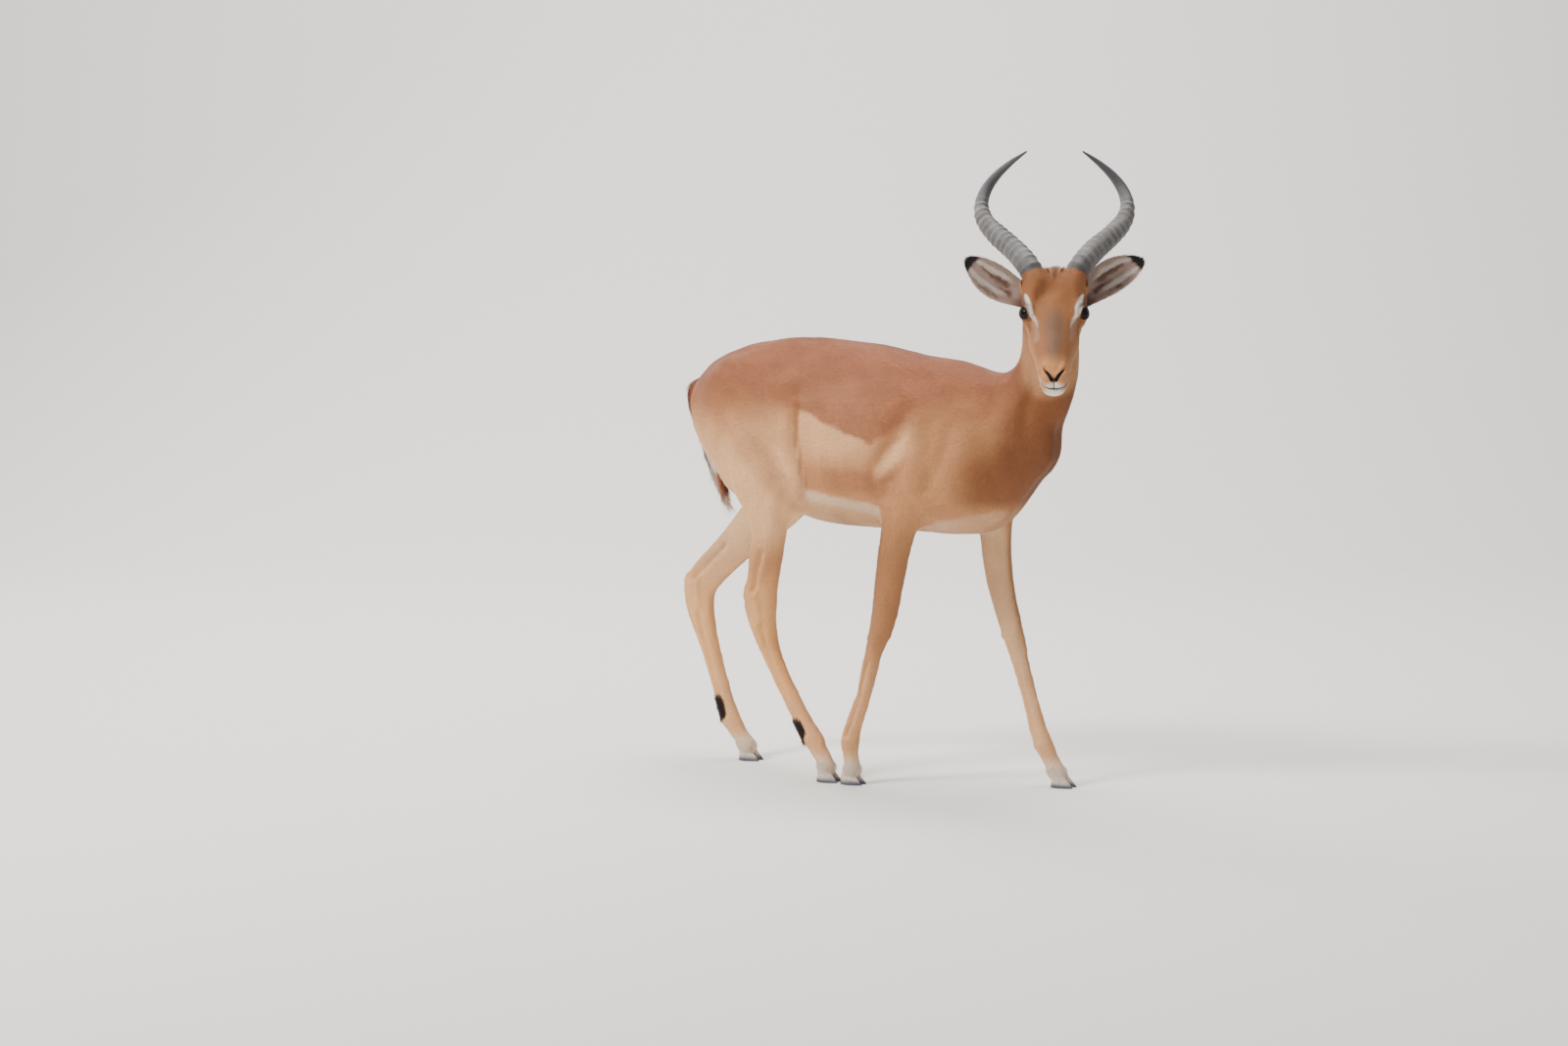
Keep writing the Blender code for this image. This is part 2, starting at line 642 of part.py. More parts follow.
def main():
    for obj in list(bpy.data.objects):
        bpy.data.objects.remove(obj)

    whole = flesh()
    grown = swollen(whole, GAP)
    fitted = [tail()]
    for side in (1, -1):
        fitted += [ear(side), horn(side)]
    for obj in fitted:
        copy = grown.copy()
        copy.data = grown.data.copy()
        bpy.context.scene.collection.objects.link(copy)
        subtract(obj, copy)
    bpy.data.objects.remove(grown)

    eyes = [eye(side) for side in (1, -1)]
    for obj in eyes:
        subtract(whole, swollen(obj, GAP))
    claws = []
    for foot, toe in FEET.items():
        for side in (1, -1):
            place = "inner" if side * toe[1] < 0 else "outer"
            claws.append(claw(f"hoof_{foot}_{place}", toe, side))
    for obj in claws:
        subtract(whole, swollen(obj, GAP))

    pieces = name_pieces(part_flesh(whole))
    nodes = list(pieces.values()) + fitted + eyes + claws

    corners = [Vector(corner) for obj in nodes for corner in obj.bound_box]
    low = Vector(min(corner[axis] for corner in corners) for axis in range(3))
    high = Vector(max(corner[axis] for corner in corners) for axis in range(3))
    shift = Vector((-(low.x + high.x) / 2, -(low.y + high.y) / 2, -low.z))
    for obj in nodes:
        obj.data.transform(Matrix.Translation(shift))
        obj.data.shade_smooth()
        obj.data.set_sharp_from_angle(angle=math.radians(50))
        obj.data.materials.clear()
        obj.data.materials.append(material(finish_of(obj.name)))
    print("origin shift", [round(value, 4) for value in shift], "nodes", len(nodes))


main()
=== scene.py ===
"""The looks of an adult impala ram: one skin with its short coat, eyes, horns and hooves."""

import math

import bmesh
import bpy
import numpy as np
from mathutils import Matrix, Vector
from mathutils.bvhtree import BVHTree


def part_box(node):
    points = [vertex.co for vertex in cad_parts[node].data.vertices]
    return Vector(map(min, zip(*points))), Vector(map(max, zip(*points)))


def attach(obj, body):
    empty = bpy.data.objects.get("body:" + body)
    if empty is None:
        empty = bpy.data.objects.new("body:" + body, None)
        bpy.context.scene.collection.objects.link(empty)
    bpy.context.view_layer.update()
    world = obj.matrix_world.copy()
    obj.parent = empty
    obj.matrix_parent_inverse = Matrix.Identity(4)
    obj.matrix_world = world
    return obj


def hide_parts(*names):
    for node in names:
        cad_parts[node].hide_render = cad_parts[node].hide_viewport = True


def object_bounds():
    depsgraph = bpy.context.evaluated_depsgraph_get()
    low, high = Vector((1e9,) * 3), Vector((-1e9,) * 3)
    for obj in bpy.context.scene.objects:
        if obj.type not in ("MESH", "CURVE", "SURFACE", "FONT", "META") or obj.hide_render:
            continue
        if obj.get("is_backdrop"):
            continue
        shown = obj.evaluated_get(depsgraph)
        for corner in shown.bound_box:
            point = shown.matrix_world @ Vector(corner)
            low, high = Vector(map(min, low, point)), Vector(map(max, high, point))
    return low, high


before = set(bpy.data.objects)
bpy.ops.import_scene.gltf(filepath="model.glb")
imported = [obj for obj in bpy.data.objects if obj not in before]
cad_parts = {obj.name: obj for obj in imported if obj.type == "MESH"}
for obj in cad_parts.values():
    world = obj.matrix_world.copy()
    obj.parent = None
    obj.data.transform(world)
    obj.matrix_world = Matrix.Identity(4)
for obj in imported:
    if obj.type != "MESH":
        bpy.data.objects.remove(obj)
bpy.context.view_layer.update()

# ---------------------------------------------------------------- floor and backdrop
# A seamless paper sweep: pale matt paper that runs along the floor and curves up behind. It is
# wide enough to fill the picture, and isn't part of the animal.


def colour(red, green, blue):
    """Linear light from the everyday 0 to 255 numbers of a colour."""
    values = np.array((red, green, blue), float) / 255
    return tuple(np.where(values < 0.04045, values / 12.92, ((values + 0.055) / 1.055) ** 2.4))


def set_sockets(node, **sockets):
    """Sets inputs of a shading node. Each input's name has _ for its spaces."""
    for key, value in sockets.items():
        node.inputs[key.replace("_", " ")].default_value = value


def plain_material(name, base, roughness, **sockets):
    made = bpy.data.materials.new(name)
    made.use_nodes = True
    shader = made.node_tree.nodes["Principled BSDF"]
    set_sockets(shader, Base_Color=(*base, 1), Roughness=roughness, **sockets)
    return made


def deselect():
    bpy.ops.object.select_all(action="DESELECT")


VIEW_TURN = math.radians(27)  # the way the camera faces and the backdrop is turned
deselect()
bpy.ops.mesh.primitive_plane_add(size=14, location=(0, 0, 0))
sweep = bpy.context.object
sweep.name = "sweep"
bpy.ops.object.mode_set(mode="EDIT")
bpy.ops.mesh.select_mode(type="EDGE")
bpy.ops.mesh.select_all(action="DESELECT")
bpy.ops.object.mode_set(mode="OBJECT")
for edge in sweep.data.edges:
    ends = [sweep.data.vertices[i].co for i in edge.vertices]
    edge.select = all(end.y > 6.9 for end in ends)
bpy.ops.object.mode_set(mode="EDIT")
bpy.ops.transform.translate(value=(0, -3.2, 0))
for turn in range(12):
    lean = math.radians(90 * (turn + 0.5) / 12)
    step = Vector((0, math.cos(lean), math.sin(lean))) * 0.30
    bpy.ops.mesh.extrude_region_move(TRANSFORM_OT_translate={"value": step})
bpy.ops.mesh.extrude_region_move(TRANSFORM_OT_translate={"value": (0, 0, 6)})
bpy.ops.mesh.select_all(action="SELECT")
bpy.ops.mesh.normals_make_consistent(inside=False)
bpy.ops.object.mode_set(mode="OBJECT")
sweep.data.transform(Matrix.Rotation(VIEW_TURN, 4, "Z"))
sweep.data.shade_smooth()
sweep.data.materials.append(plain_material("paper", colour(236, 234, 230), 0.9))
sweep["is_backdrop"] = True

# ---------------------------------------------------------------- lights and camera
# Five soft boxes, as in a studio: the key high to the camera's left, the fill low to its right,
# one overhead, one behind that edges the back, and one that lights the backdrop. The camera
# looks at the animal from its right front.

for name, place, size, power, warmth in (
    ("key", (-2.9, -3.9, 4.6), 1.5, 430, (1.0, 0.97, 0.93)),
    ("fill", (5.2, -3.6, 1.9), 3.2, 55, (0.94, 0.97, 1.0)),
    ("top", (0.2, 0.4, 4.8), 2.6, 170, (1.0, 0.99, 0.97)),
    ("rim", (-4.4, 2.2, 3.4), 2.0, 110, (1.0, 0.98, 0.95)),
    ("wash", (-1.2, 2.4, 5.4), 3.0, 240, (1.0, 0.99, 0.98)),
):
    light = bpy.data.lights.new(name, "AREA")
    light.size = size
    light.energy = power
    light.color = warmth
    lamp = bpy.data.objects.new(name, light)
    bpy.context.scene.collection.objects.link(lamp)
    lamp.location = place
    target = Vector((-2.4, 4.8, 1.4) if name == "wash" else (0.05, 0, 0.65))
    lamp.rotation_euler = (target - Vector(place)).to_track_quat("-Z", "Y").to_euler()

world = bpy.data.worlds.new("studio")
bpy.context.scene.world = world
world.use_nodes = True
set_sockets(world.node_tree.nodes["Background"], Color=(0.86, 0.87, 0.89, 1), Strength=0.40)

camera = bpy.data.objects.new("camera", bpy.data.cameras.new("camera"))
bpy.context.scene.collection.objects.link(camera)
camera.location = (3.1148, -6.569, 1.26)
dip = math.atan(353.5 / 3600)  # below the level
level = math.cos(dip)
aim = Vector((-math.sin(VIEW_TURN) * level, math.cos(VIEW_TURN) * level, -math.sin(dip)))
camera.rotation_euler = aim.to_track_quat("-Z", "Y").to_euler()
camera.data.lens = 81
camera.data.sensor_width = 36
bpy.context.scene.camera = camera

# ---------------------------------------------------------------- skin
# The hide: one closed skin over the trunk, neck, head, legs and tail. It is made from the flesh
# of the solids, evened out, drawn in by the depth of the coat, and shaped by muscle and bone.


def unit(vectors):
    vectors = np.asarray(vectors, float)
    return vectors / np.maximum(np.linalg.norm(vectors, axis=-1, keepdims=True), 1e-12)


def ramp(values, start, end):
    """0 before start and 1 after end, with a smooth rise between."""
    t = np.clip((np.asarray(values, float) - start) / (end - start), 0, 1)
    return t * t * (3 - 2 * t)


def fall(values, start, end):
    """1 before start and 0 after end, with a smooth drop between."""
    return 1 - ramp(values, start, end)


def distance(at, place):
    return np.linalg.norm(at - place, axis=1)


HEAD_TURN = math.radians(-67)  # of the head, from the way the body points
NOD = math.radians(57)  # of the face, below the level
FACING = np.array((math.cos(HEAD_TURN), math.sin(HEAD_TURN), 0))
UP = np.array((0.0, 0, 1))
NOSE = FACING * math.cos(NOD) - UP * math.sin(NOD)  # along the face
BROW = FACING * math.sin(NOD) + UP * math.cos(NOD)  # out of the face
LEFT = np.cross(UP, FACING)
POLL = np.array((0.4098, -0.0790, 1.061))  # between the horn bases
MIDDLE_Y = 0.051  # of the trunk, in a plane from head to tail


def in_head(along, out, left):
    """A place in the head: how far down the face from the poll, out of the face and to the left."""
    return POLL + NOSE * along + BROW * out + LEFT * left


def head_path(side, *rows):
    """A path over the head, on its left where side is 1 and mirrored to its right where it is -1."""
    return [in_head(along, out, side * left) for along, out, left in rows]


HEAD = in_head(0.10, -0.05, 0)
FACE = in_head(0.12, -0.05, 0)
MUZZLE = in_head(0.22, -0.04, 0)
EYE_RADIUS = 0.0165
EYES = {side: in_head(0.072, -0.019, side * 0.0508) for side in (1, -1)}


def horn_axis(side):
    """Along the horn at its root."""
    return unit(LEFT * (side * 0.28) - FACING * 0.52 + UP * 0.80)


def head_axes(points):
    """How far points lie along the face from the poll, out of the face, and to its left."""
    off = points - POLL
    return off @ NOSE, off @ BROW, off @ LEFT


def points_of(mesh):
    points = np.empty(len(mesh.vertices) * 3)
    mesh.vertices.foreach_get("co", points)
    return points.reshape(-1, 3)


def normals_of(mesh):
    normals = np.empty(len(mesh.vertices) * 3, np.float32)
    mesh.vertices.foreach_get("normal", normals)
    return normals.reshape(-1, 3).astype(float)


def place_points(mesh, points):
    mesh.vertices.foreach_set("co", np.ascontiguousarray(points, float).ravel())
    mesh.update()


def even_out(mesh, passes, weight=None):
    """Rounds off what is smaller than a few edges, and keeps the larger shape and its volume."""
    points = points_of(mesh)
    count = len(points)
    edges = np.empty(len(mesh.edges) * 2, int)
    mesh.edges.foreach_get("vertices", edges)
    first, second = edges.reshape(-1, 2).T
    degree = np.maximum(np.bincount(edges, minlength=count), 1)[:, None]
    weight = np.ones((count, 1)) if weight is None else weight[:, None]
    for rate in (0.58, -0.60) * passes:
        total = np.empty_like(points)
        for axis in range(3):
            total[:, axis] = np.bincount(first, points[second, axis], count)
            total[:, axis] += np.bincount(second, points[first, axis], count)
        points += (total / degree - points) * rate * weight
    place_points(mesh, points)


def refine(obj, chosen):
    """Splits each face that chosen picks, by its middle, into four."""
    centres = np.empty(len(obj.data.polygons) * 3)
    obj.data.polygons.foreach_get("center", centres)
    picked = chosen(centres.reshape(-1, 3))
    bpy.ops.object.mode_set(mode="EDIT")
    bpy.ops.mesh.select_mode(type="FACE")
    bpy.ops.mesh.select_all(action="DESELECT")
    bpy.ops.object.mode_set(mode="OBJECT")
    obj.data.polygons.foreach_set("select", picked)
    bpy.ops.object.mode_set(mode="EDIT")
    bpy.ops.mesh.subdivide(number_cuts=1)
    bpy.ops.object.mode_set(mode="OBJECT")


FLESH = ("trunk", "neck", "head", "leg", "tail", "eye", "hoof")
flesh = [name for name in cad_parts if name.startswith(FLESH)]
deselect()
for name in flesh:
    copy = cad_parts[name].copy()
    copy.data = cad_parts[name].data.copy()
    copy.parent = None
    bpy.context.scene.collection.objects.link(copy)
    copy.select_set(True)
    bpy.context.view_layer.objects.active = copy
skin = bpy.context.view_layer.objects.active
for side in (1, -1):  # the knob of the skull that each horn sits on
    chosen = bpy.context.selected_objects[:]
    bpy.ops.mesh.primitive_ico_sphere_add(subdivisions=4, radius=1)
    knob = bpy.context.object
    axis = horn_axis(side)
    centre = in_head(0, -0.001, side * 0.041) - axis * 0.008
    knob_points = points_of(knob.data) * 0.0252  # its radius
    knob_points = knob_points + np.outer(knob_points @ axis, axis) * 0.45
    place_points(knob.data, knob_points + centre)
    for obj in chosen:
        obj.select_set(True)
bpy.context.view_layer.objects.active = skin
bpy.ops.object.join()
skin.name = skin.data.name = "skin"
bpy.ops.object.mode_set(mode="EDIT")
bpy.ops.mesh.select_all(action="SELECT")
bpy.ops.mesh.remove_doubles(threshold=0.00002)
bpy.ops.transform.shrink_fatten(value=0.0006)
bpy.ops.object.mode_set(mode="OBJECT")
skin.data.materials.clear()
remesh = skin.modifiers.new("Remesh", "REMESH")
remesh.mode = "VOXEL"
remesh.voxel_size = 0.0075
bpy.ops.object.modifier_apply(modifier=remesh.name)
points = points_of(skin.data)
headness = fall(distance(points, HEAD), 0.13, 0.19)
shank = fall(points[:, 2], 0.30, 0.48)
even_out(skin.data, 14, 1 - 0.30 * headness - 0.25 * shank)

# smaller faces on the head and shanks, then twice more on the muzzle and round the eyes
refine(skin, lambda at: (distance(at, HEAD) < 0.17) | (at[:, 2] < 0.40))
even_out(skin.data, 3)
for start, depth, ring in ((0.165, 1.0, 0.034), (0.190, 0.052, 0.0245)):
    refine(
        skin,
        lambda at: (head_axes(at)[0] > start) & (head_axes(at)[1] > -depth) & (distance(at, MUZZLE) < 0.1)
        | np.any([distance(at, eye) < ring for eye in EYES.values()], axis=0),
    )
    even_out(skin.data, 2)


def surface_of(obj, points):
    """The object's faces over points, for finding the nearest spot on them."""
    return BVHTree.FromPolygons(points.tolist(), [tuple(p.vertices) for p in obj.data.polygons])


points = points_of(skin.data)
normals = normals_of(skin.data)
along, _, _ = head_axes(points)
to_head = distance(points, HEAD)
depth = 0.0036 - 0.0016 * fall(points[:, 2], 0.35, 0.60)  # of the coat
depth -= (depth - 0.0012) * fall(to_head, 0.14, 0.24)
depth -= 0.0008 * ramp(along, 0.16, 0.20) * (to_head < 0.2)
points -= normals * depth[:, None]
place_points(skin.data, points)
surface = surface_of(skin, points)
normals = normals_of(skin.data)


def lay(path):
    """The path as short steps on the skin."""
    rows = np.vstack([np.linspace(a, b, 5)[:-1] for a, b in zip(path, path[1:])] + [path[-1:]])
    return [np.array(surface.find_nearest(Vector(point))[0]) for point in rows]


def from_line(at, start, end):
    """How far points are from the line between two places, and how far along it they are."""
    line = end - start
    share = np.clip(((at - start) @ line) / max(line @ line, 1e-12), 0, 1)
    return distance(at - start, share[:, None] * line), share


def stroke(path, width, height):
    """How far the skin rises along a path that is laid on it, fading over width."""
    laid = lay(path)
    rise = np.zeros(len(points))
    for start, end in zip(laid, laid[1:]):
        low, high = np.minimum(start, end) - width, np.maximum(start, end) + width
        near = np.nonzero(((points > low) & (points < high)).all(axis=1))[0]
        away, _ = from_line(points[near], start, end)
        rise[near] = np.maximum(rise[near], np.clip(1 - (away / width) ** 2, 0, 1) ** 2)
    return rise[:, None] * height


def sculpt(strokes):
    """Shapes the skin with strokes, each a path, its half width and its height."""
    global points, normals
    for path, width, height in strokes:
        points = points + normals * stroke(path, width, height)
    place_points(skin.data, points)
    normals = normals_of(skin.data)


def beside(y, shift, *rows):
    """A path beside the trunk through the (x, z) of the rows, all carried forward by shift."""
    return [(x + shift, y, z) for x, z in rows]


body = []
for side in (-1, 1):
    y = MIDDLE_Y + side * 0.128
    if side < 0:
        s = 0.0  # how far the shoulder is carried forward
        elbow, stifle = (0.100, -0.060, 0.640), (-0.172, -0.060, 0.605)
        thigh_rear = [(-0.330, -0.045, 0.580), (-0.285, -0.045, 0.510)]
        gaskin = [(-0.225, -0.055, 0.600), (-0.240, -0.050, 0.520), (-0.262, -0.045, 0.430)]
    else:
        s = 0.015
        elbow, stifle = (0.220, 0.160, 0.640), (-0.190, 0.170, 0.600)
        thigh_rear = [(-0.385, 0.15, 0.580), (-0.400, 0.15, 0.510)]
        gaskin = [(-0.300, 0.160, 0.580), (-0.370, 0.155, 0.500), (-0.450, 0.150, 0.430)]
    fold = ((-0.163, 0.788), (-0.164, 0.745), (-0.159, 0.700), (-0.153, 0.650), (-0.152, 0.600))
    body += [
        # shoulder blade, the grooves and folds behind it, and the long muscle above the elbow
        (beside(y, s, (0.160, 0.850), (0.200, 0.780), (0.245, 0.700)), 0.034, 0.0045),
        (beside(y, s, (0.085, 0.790), (0.062, 0.720), (0.050, 0.660), (0.035, 0.620)), 0.032, -0.0080),
        (beside(y, s, (0.066, 0.728), (0.033, 0.701), (0.010, 0.661), (0.016, 0.625)), 0.014, -0.0058),
        (beside(y, s, (0.034, 0.672), (0.052, 0.656), (0.060, 0.634)), 0.008, -0.0024),
        (beside(y, s, (0.022, 0.644), (0.040, 0.628), (0.046, 0.606)), 0.008, -0.0024),
        (beside(y, s, (0.110, 0.742), (0.062, 0.690), (0.038, 0.652)), 0.017, 0.0034),
        (beside(y, s, (0.092, 0.688), (0.064, 0.660), (0.046, 0.640)), 0.014, -0.0040),
        (beside(y, s, (0.110, 0.765), (0.105, 0.700)) + [elbow], 0.036, 0.0068),
        (beside(y, s, (0.185, 0.760), (0.165, 0.690), (0.130, 0.630)), 0.022, -0.0050),
        (beside(y, s, (0.285, 0.700), (0.250, 0.650)), 0.040, 0.0040),
        # flank: the hollow before the hip, the fold down to the stifle, and the thigh's front edge
        (beside(y, 0, (-0.115, 0.835), (-0.140, 0.810)), 0.055, -0.0075),
        (beside(y, 0, (-0.135, 0.775), (-0.140, 0.720), (-0.135, 0.670), (-0.130, 0.620)), 0.034, -0.0075),
        (beside(y, 0, *fold), 0.013, -0.0062),
        (beside(y, 0, (-0.180, 0.790), (-0.188, 0.720), (-0.182, 0.660)) + [stifle], 0.025, 0.0072),
        (beside(y, 0, (-0.222, 0.712), (-0.200, 0.692), (-0.186, 0.690)), 0.014, -0.0030),
        # point of the hip, and the stifle
        (beside(y, 0, (-0.190, 0.850), (-0.215, 0.835)), 0.036, 0.0056),
        ([stifle, (stifle[0] - 0.01, stifle[1], stifle[2] - 0.03)], 0.030, 0.0040),
        # thigh: the partings before its rear muscle, and the gaskin below
        (beside(y, 0, (-0.330, 0.800), (-0.335, 0.740)) + thigh_rear, 0.026, -0.0060),
        (beside(y, 0, (-0.255, 0.760), (-0.225, 0.690), (-0.205, 0.640)), 0.024, -0.0036),
        (beside(y, 0, (-0.280, 0.800), (-0.260, 0.720), (-0.240, 0.650)), 0.060, 0.0046),
        (gaskin, 0.022, 0.0030),
    ]
    for number in range(7):  # ribs
        x = -0.105 + 0.026 * number
        body.append((beside(y, x, (0.020, 0.800), (0.004, 0.720), (-0.006, 0.640)), 0.011, 0.0015))
windpipe = [(0.352, -0.010, 0.985), (0.352, 0.002, 0.920), (0.335, 0.000, 0.850), (0.320, -0.010, 0.780)]
body += [
    # neck: the grooves beside the windpipe and before the shoulder, and the muscle in front
    (windpipe, 0.022, -0.0060),
    ([(0.375, 0.100, 0.940), (0.375, 0.110, 0.870), (0.370, 0.115, 0.800)], 0.022, -0.0060),
    ([(0.300, -0.040, 0.900), (0.285, -0.040, 0.850), (0.262, -0.045, 0.800)], 0.030, -0.0040),
    ([(0.395, 0.030, 0.900), (0.400, 0.035, 0.850), (0.400, 0.040, 0.780)], 0.026, 0.0030),
    # the parting of the breast, and the line of the spine
    (beside(MIDDLE_Y, 0, (0.402, 0.740), (0.372, 0.650), (0.320, 0.560)), 0.028, -0.0060),
    (beside(MIDDLE_Y, 0, (0.100, 0.900), (-0.100, 0.930), (-0.280, 0.905)), 0.016, -0.0020),
]
sculpt(body)

LEGS = {  # carpus or hock, middle of the cannon, fetlock and coronet
    "front_right": (
        (0.001, -0.033, 0.302),
        (-0.041, -0.030, 0.160),
        (-0.063, -0.029, 0.088),
        (-0.057, -0.029, 0.040),
    ),
    "front_left": (
        (0.239, 0.136, 0.295),
        (0.280, 0.134, 0.160),
        (0.307, 0.133, 0.083),
        (0.335, 0.133, 0.036),
    ),
    "rear_right": (
        (-0.270, -0.034, 0.368),
        (-0.211, -0.030, 0.195),
        (-0.149, -0.026, 0.086),
        (-0.120, -0.026, 0.038),
    ),
    "rear_left": (
        (-0.509, 0.141, 0.370),
        (-0.470, 0.143, 0.195),
        (-0.431, 0.146, 0.080),
        (-0.397, 0.146, 0.036),
    ),
}
OUTSIDE = 0.05  # well off a leg, so that a path falls on its nearer face


def around(place, *steps):
    """A path of the places that lie each a step away from one. A single step makes a dot."""
    path = [place + step for step in steps]
    return path if len(path) > 1 else path * 2


limbs = []
for name, places in LEGS.items():
    joint, cannon, fetlock, coronet = np.array(places)
    shaft = unit(fetlock - joint)
    behind = unit(np.cross(shaft, (0, 1, 0)))
    behind *= -np.sign(behind[0])
    for side in (-OUTSIDE, OUTSIDE):
        lateral = np.array((0, side, 0))
        groove = (joint + shaft * 0.045, cannon, fetlock - shaft * 0.018)
        limbs += [
            # the groove between the cannon bone and its tendons, and the knobs at its ends
            ([place + behind * 0.006 + lateral for place in groove], 0.0080, -0.0044),
            (around(fetlock + lateral, behind * 0.006, behind * 0.004 + shaft * 0.006), 0.015, 0.0018),
            (around(joint + lateral, shaft * 0.004, shaft * -0.012), 0.018, 0.0018),
        ]
    limbs += [
        # the back of the fetlock, and the hollow of the pastern below it
        (around(fetlock + behind * OUTSIDE, shaft * -0.004, shaft * 0.004), 0.014, 0.0022),
        (around((fetlock + coronet) / 2, behind * OUTSIDE), 0.014, -0.0020),
    ]
    if name.startswith("rear"):
        limbs.append((around(joint, (-0.045, 0, 0.022), (-0.045, 0, 0.038)), 0.016, 0.0042))  # heel
        up = joint + ((0.02, 0, 0.11) if name == "rear_right" else (0.07, 0, 0.10))
        for side in (-OUTSIDE, OUTSIDE):
            hollow = [joint + (-0.016, side, 0.030), (joint + up) / 2 + (-0.012, side, 0.010)]
            bone = (0.004, side, 0)
            limbs += [
                # the hollow before the heel's tendon, the hock's small bones, and the dimples below
                (hollow + [up + (-0.004, side, 0)], 0.0135, -0.0090),
                (around(joint, (-0.002, side, 0.030), bone, (0.011, side, -0.034)), 0.0090, 0.0028),
                (around(joint, (0.011, side, -0.052), (0.020, side, -0.058)), 0.0095, -0.0034),
                (around(joint, (0.014, side, -0.092), (0.022, side, -0.098)), 0.0080, -0.0022),
            ]
    else:  # the front of the carpus, and the knob behind it
        limbs.append((around(joint, (0.03, 0, 0.010), (0.03, 0, -0.010)), 0.016, 0.0020))
        limbs.append((around(joint, (-0.03, 0, 0.014)), 0.012, 0.0030))
sculpt(limbs)

# ---------------------------------------------------------------- face
# The skin of the head over its bones: the lids that close round each eye, the bridge of the nose,
# the nostrils, and the lips.

bridge = head_path(1, (0.060, 0.02, 0), (0.120, 0.02, 0), (0.180, 0.02, 0))
face = [(bridge, 0.016, 0.0014)]
for side in (1, -1):
    face += [
        # brow over the eye and behind it, the hollow of the tear line, the cheek's crest, the
        # hollow above the jaw, and the dip before the horn
        (head_path(side, (0.045, 0.02, 0.044), (0.062, 0.02, 0.052), (0.088, 0.02, 0.048)), 0.012, 0.0030),
        (head_path(side, (0.040, -0.014, 0.070), (0.054, -0.020, 0.070)), 0.014, 0.0022),
        (head_path(side, (0.105, 0.00, 0.050), (0.132, -0.01, 0.045)), 0.013, -0.0030),
        (head_path(side, (0.100, -0.04, 0.08), (0.135, -0.04, 0.07), (0.165, -0.042, 0.06)), 0.012, 0.0020),
        (head_path(side, (0.150, -0.022, 0.06), (0.185, -0.026, 0.06)), 0.016, -0.0022),
        (head_path(side, (0.030, 0.01, 0.020), (0.050, 0.01, 0.026)), 0.014, -0.0016),
    ]
sculpt(face)
# the lids' opening, in radians round the gaze
SLIT_HALF = 0.94
UPPER_LID = 0.66
LOWER_LID = 0.54


def eye_axes(side):
    """Out along the gaze, along the opening of the lids towards the nose, and up across it."""
    gaze = unit(LEFT * (side * 0.766) + FACING * 0.643 + UP * 0.06)
    slit = NOSE * 0.80 - LEFT * (side * 0.65) - BROW * 0.05
    slit = unit(slit - gaze * (slit @ gaze))
    above = np.cross(gaze, slit)
    return gaze, slit, above * np.sign(above @ BROW)


def lid_edge(across, height):
    """How high the lids' edge is, at angles across the eye."""
    return height * np.clip(1 - (across / SLIT_HALF) ** 2, 0, 1) ** 0.75


bare = np.zeros((len(points), 3))  # how much each point belongs to a lid's rim, nostril or mouth
for side, eye in EYES.items():
    gaze, slit, above = eye_axes(side)
    off = points - eye
    radius = np.linalg.norm(off, axis=1)
    near = np.nonzero((radius < 0.036) & ((off @ gaze) > -0.35 * radius))[0]
    ray = off[near] / radius[near, None]
    wide = np.arccos(np.clip(ray @ gaze, -1, 1))
    flat = np.maximum(np.hypot(ray @ slit, ray @ above), 1e-9)
    across, high = wide * (ray @ slit) / flat, wide * (ray @ above) / flat
    beyond = np.abs(across) - SLIT_HALF
    above_edge = np.abs(high) - lid_edge(across, np.where(high > 0, UPPER_LID, LOWER_LID))
    edge = np.where(beyond < 0, above_edge, np.hypot(high, beyond)) * EYE_RADIUS
    brow = ramp(high, 0.0, 0.6)
    lid = EYE_RADIUS + 0.0015 + 0.0008 * brow + 0.0008 * np.exp(-((edge - 0.0014) / 0.0012) ** 2)
    crease = 0.0014 * np.exp(-((edge - 0.0062) / 0.0014) ** 2) * ramp(high, 0.1, 0.5)
    share = fall(edge, 0.0030, 0.0110)
    new = radius[near] * (1 - share) + lid * share - crease
    new = np.where(edge < 0, lid - 0.0048 * ramp(-edge, 0, 0.0010), new)
    new = np.where((edge > 0) & (wide < 1.7), np.maximum(new, EYE_RADIUS + 0.0009), new)
    points[near] = eye + ray * new[:, None]
    bare[near, 0] = fall(edge, 0.0005, 0.0018)
# the muzzle narrows towards the lips, and the chin is short
along, out, left = head_axes(points)
near = fall(distance(points, in_head(0.225, -0.03, 0)), 0.058, 0.085)
slim = near * ramp(along, 0.170, 0.222) * ramp(-out, 0.006, 0.024)
points = points - np.outer(left * 0.20 * slim, LEFT)
points = points - np.outer(0.0034 * near * ramp(-out, 0.028, 0.042) * ramp(along, 0.200, 0.232), NOSE)
place_points(skin.data, points)
normals = normals_of(skin.data)
surface = surface_of(skin, points)

PHILTRUM = head_path(1, (0.226, -0.012, 0), (0.232, -0.018, 0), (0.240, -0.026, 0))
NOSTRIL = (
    (0.2010, -0.010, 0.0235),
    (0.2080, -0.009, 0.0175),
    (0.2165, -0.010, 0.0105),
    (0.2262, -0.014, 0.0040),
)
MOUTH = (
    (0.2400, -0.0262, 0),
    (0.2388, -0.0265, 0.009),
    (0.2330, -0.0290, 0.018),
    (0.2220, -0.0345, 0.027),
    (0.2060, -0.0415, 0.032),
    (0.1900, -0.0490, 0.036),
)
muzzle = [
    # philtrum, and the bridge of the nose above it
    (head_path(1, (0.224, -0.01, 0), (0.234, -0.018, 0), (0.240, -0.026, 0)), 0.0030, -0.0016),
    (head_path(1, (0.205, 0.01, 0), (0.220, 0.01, 0)), 0.0080, 0.0012),
]
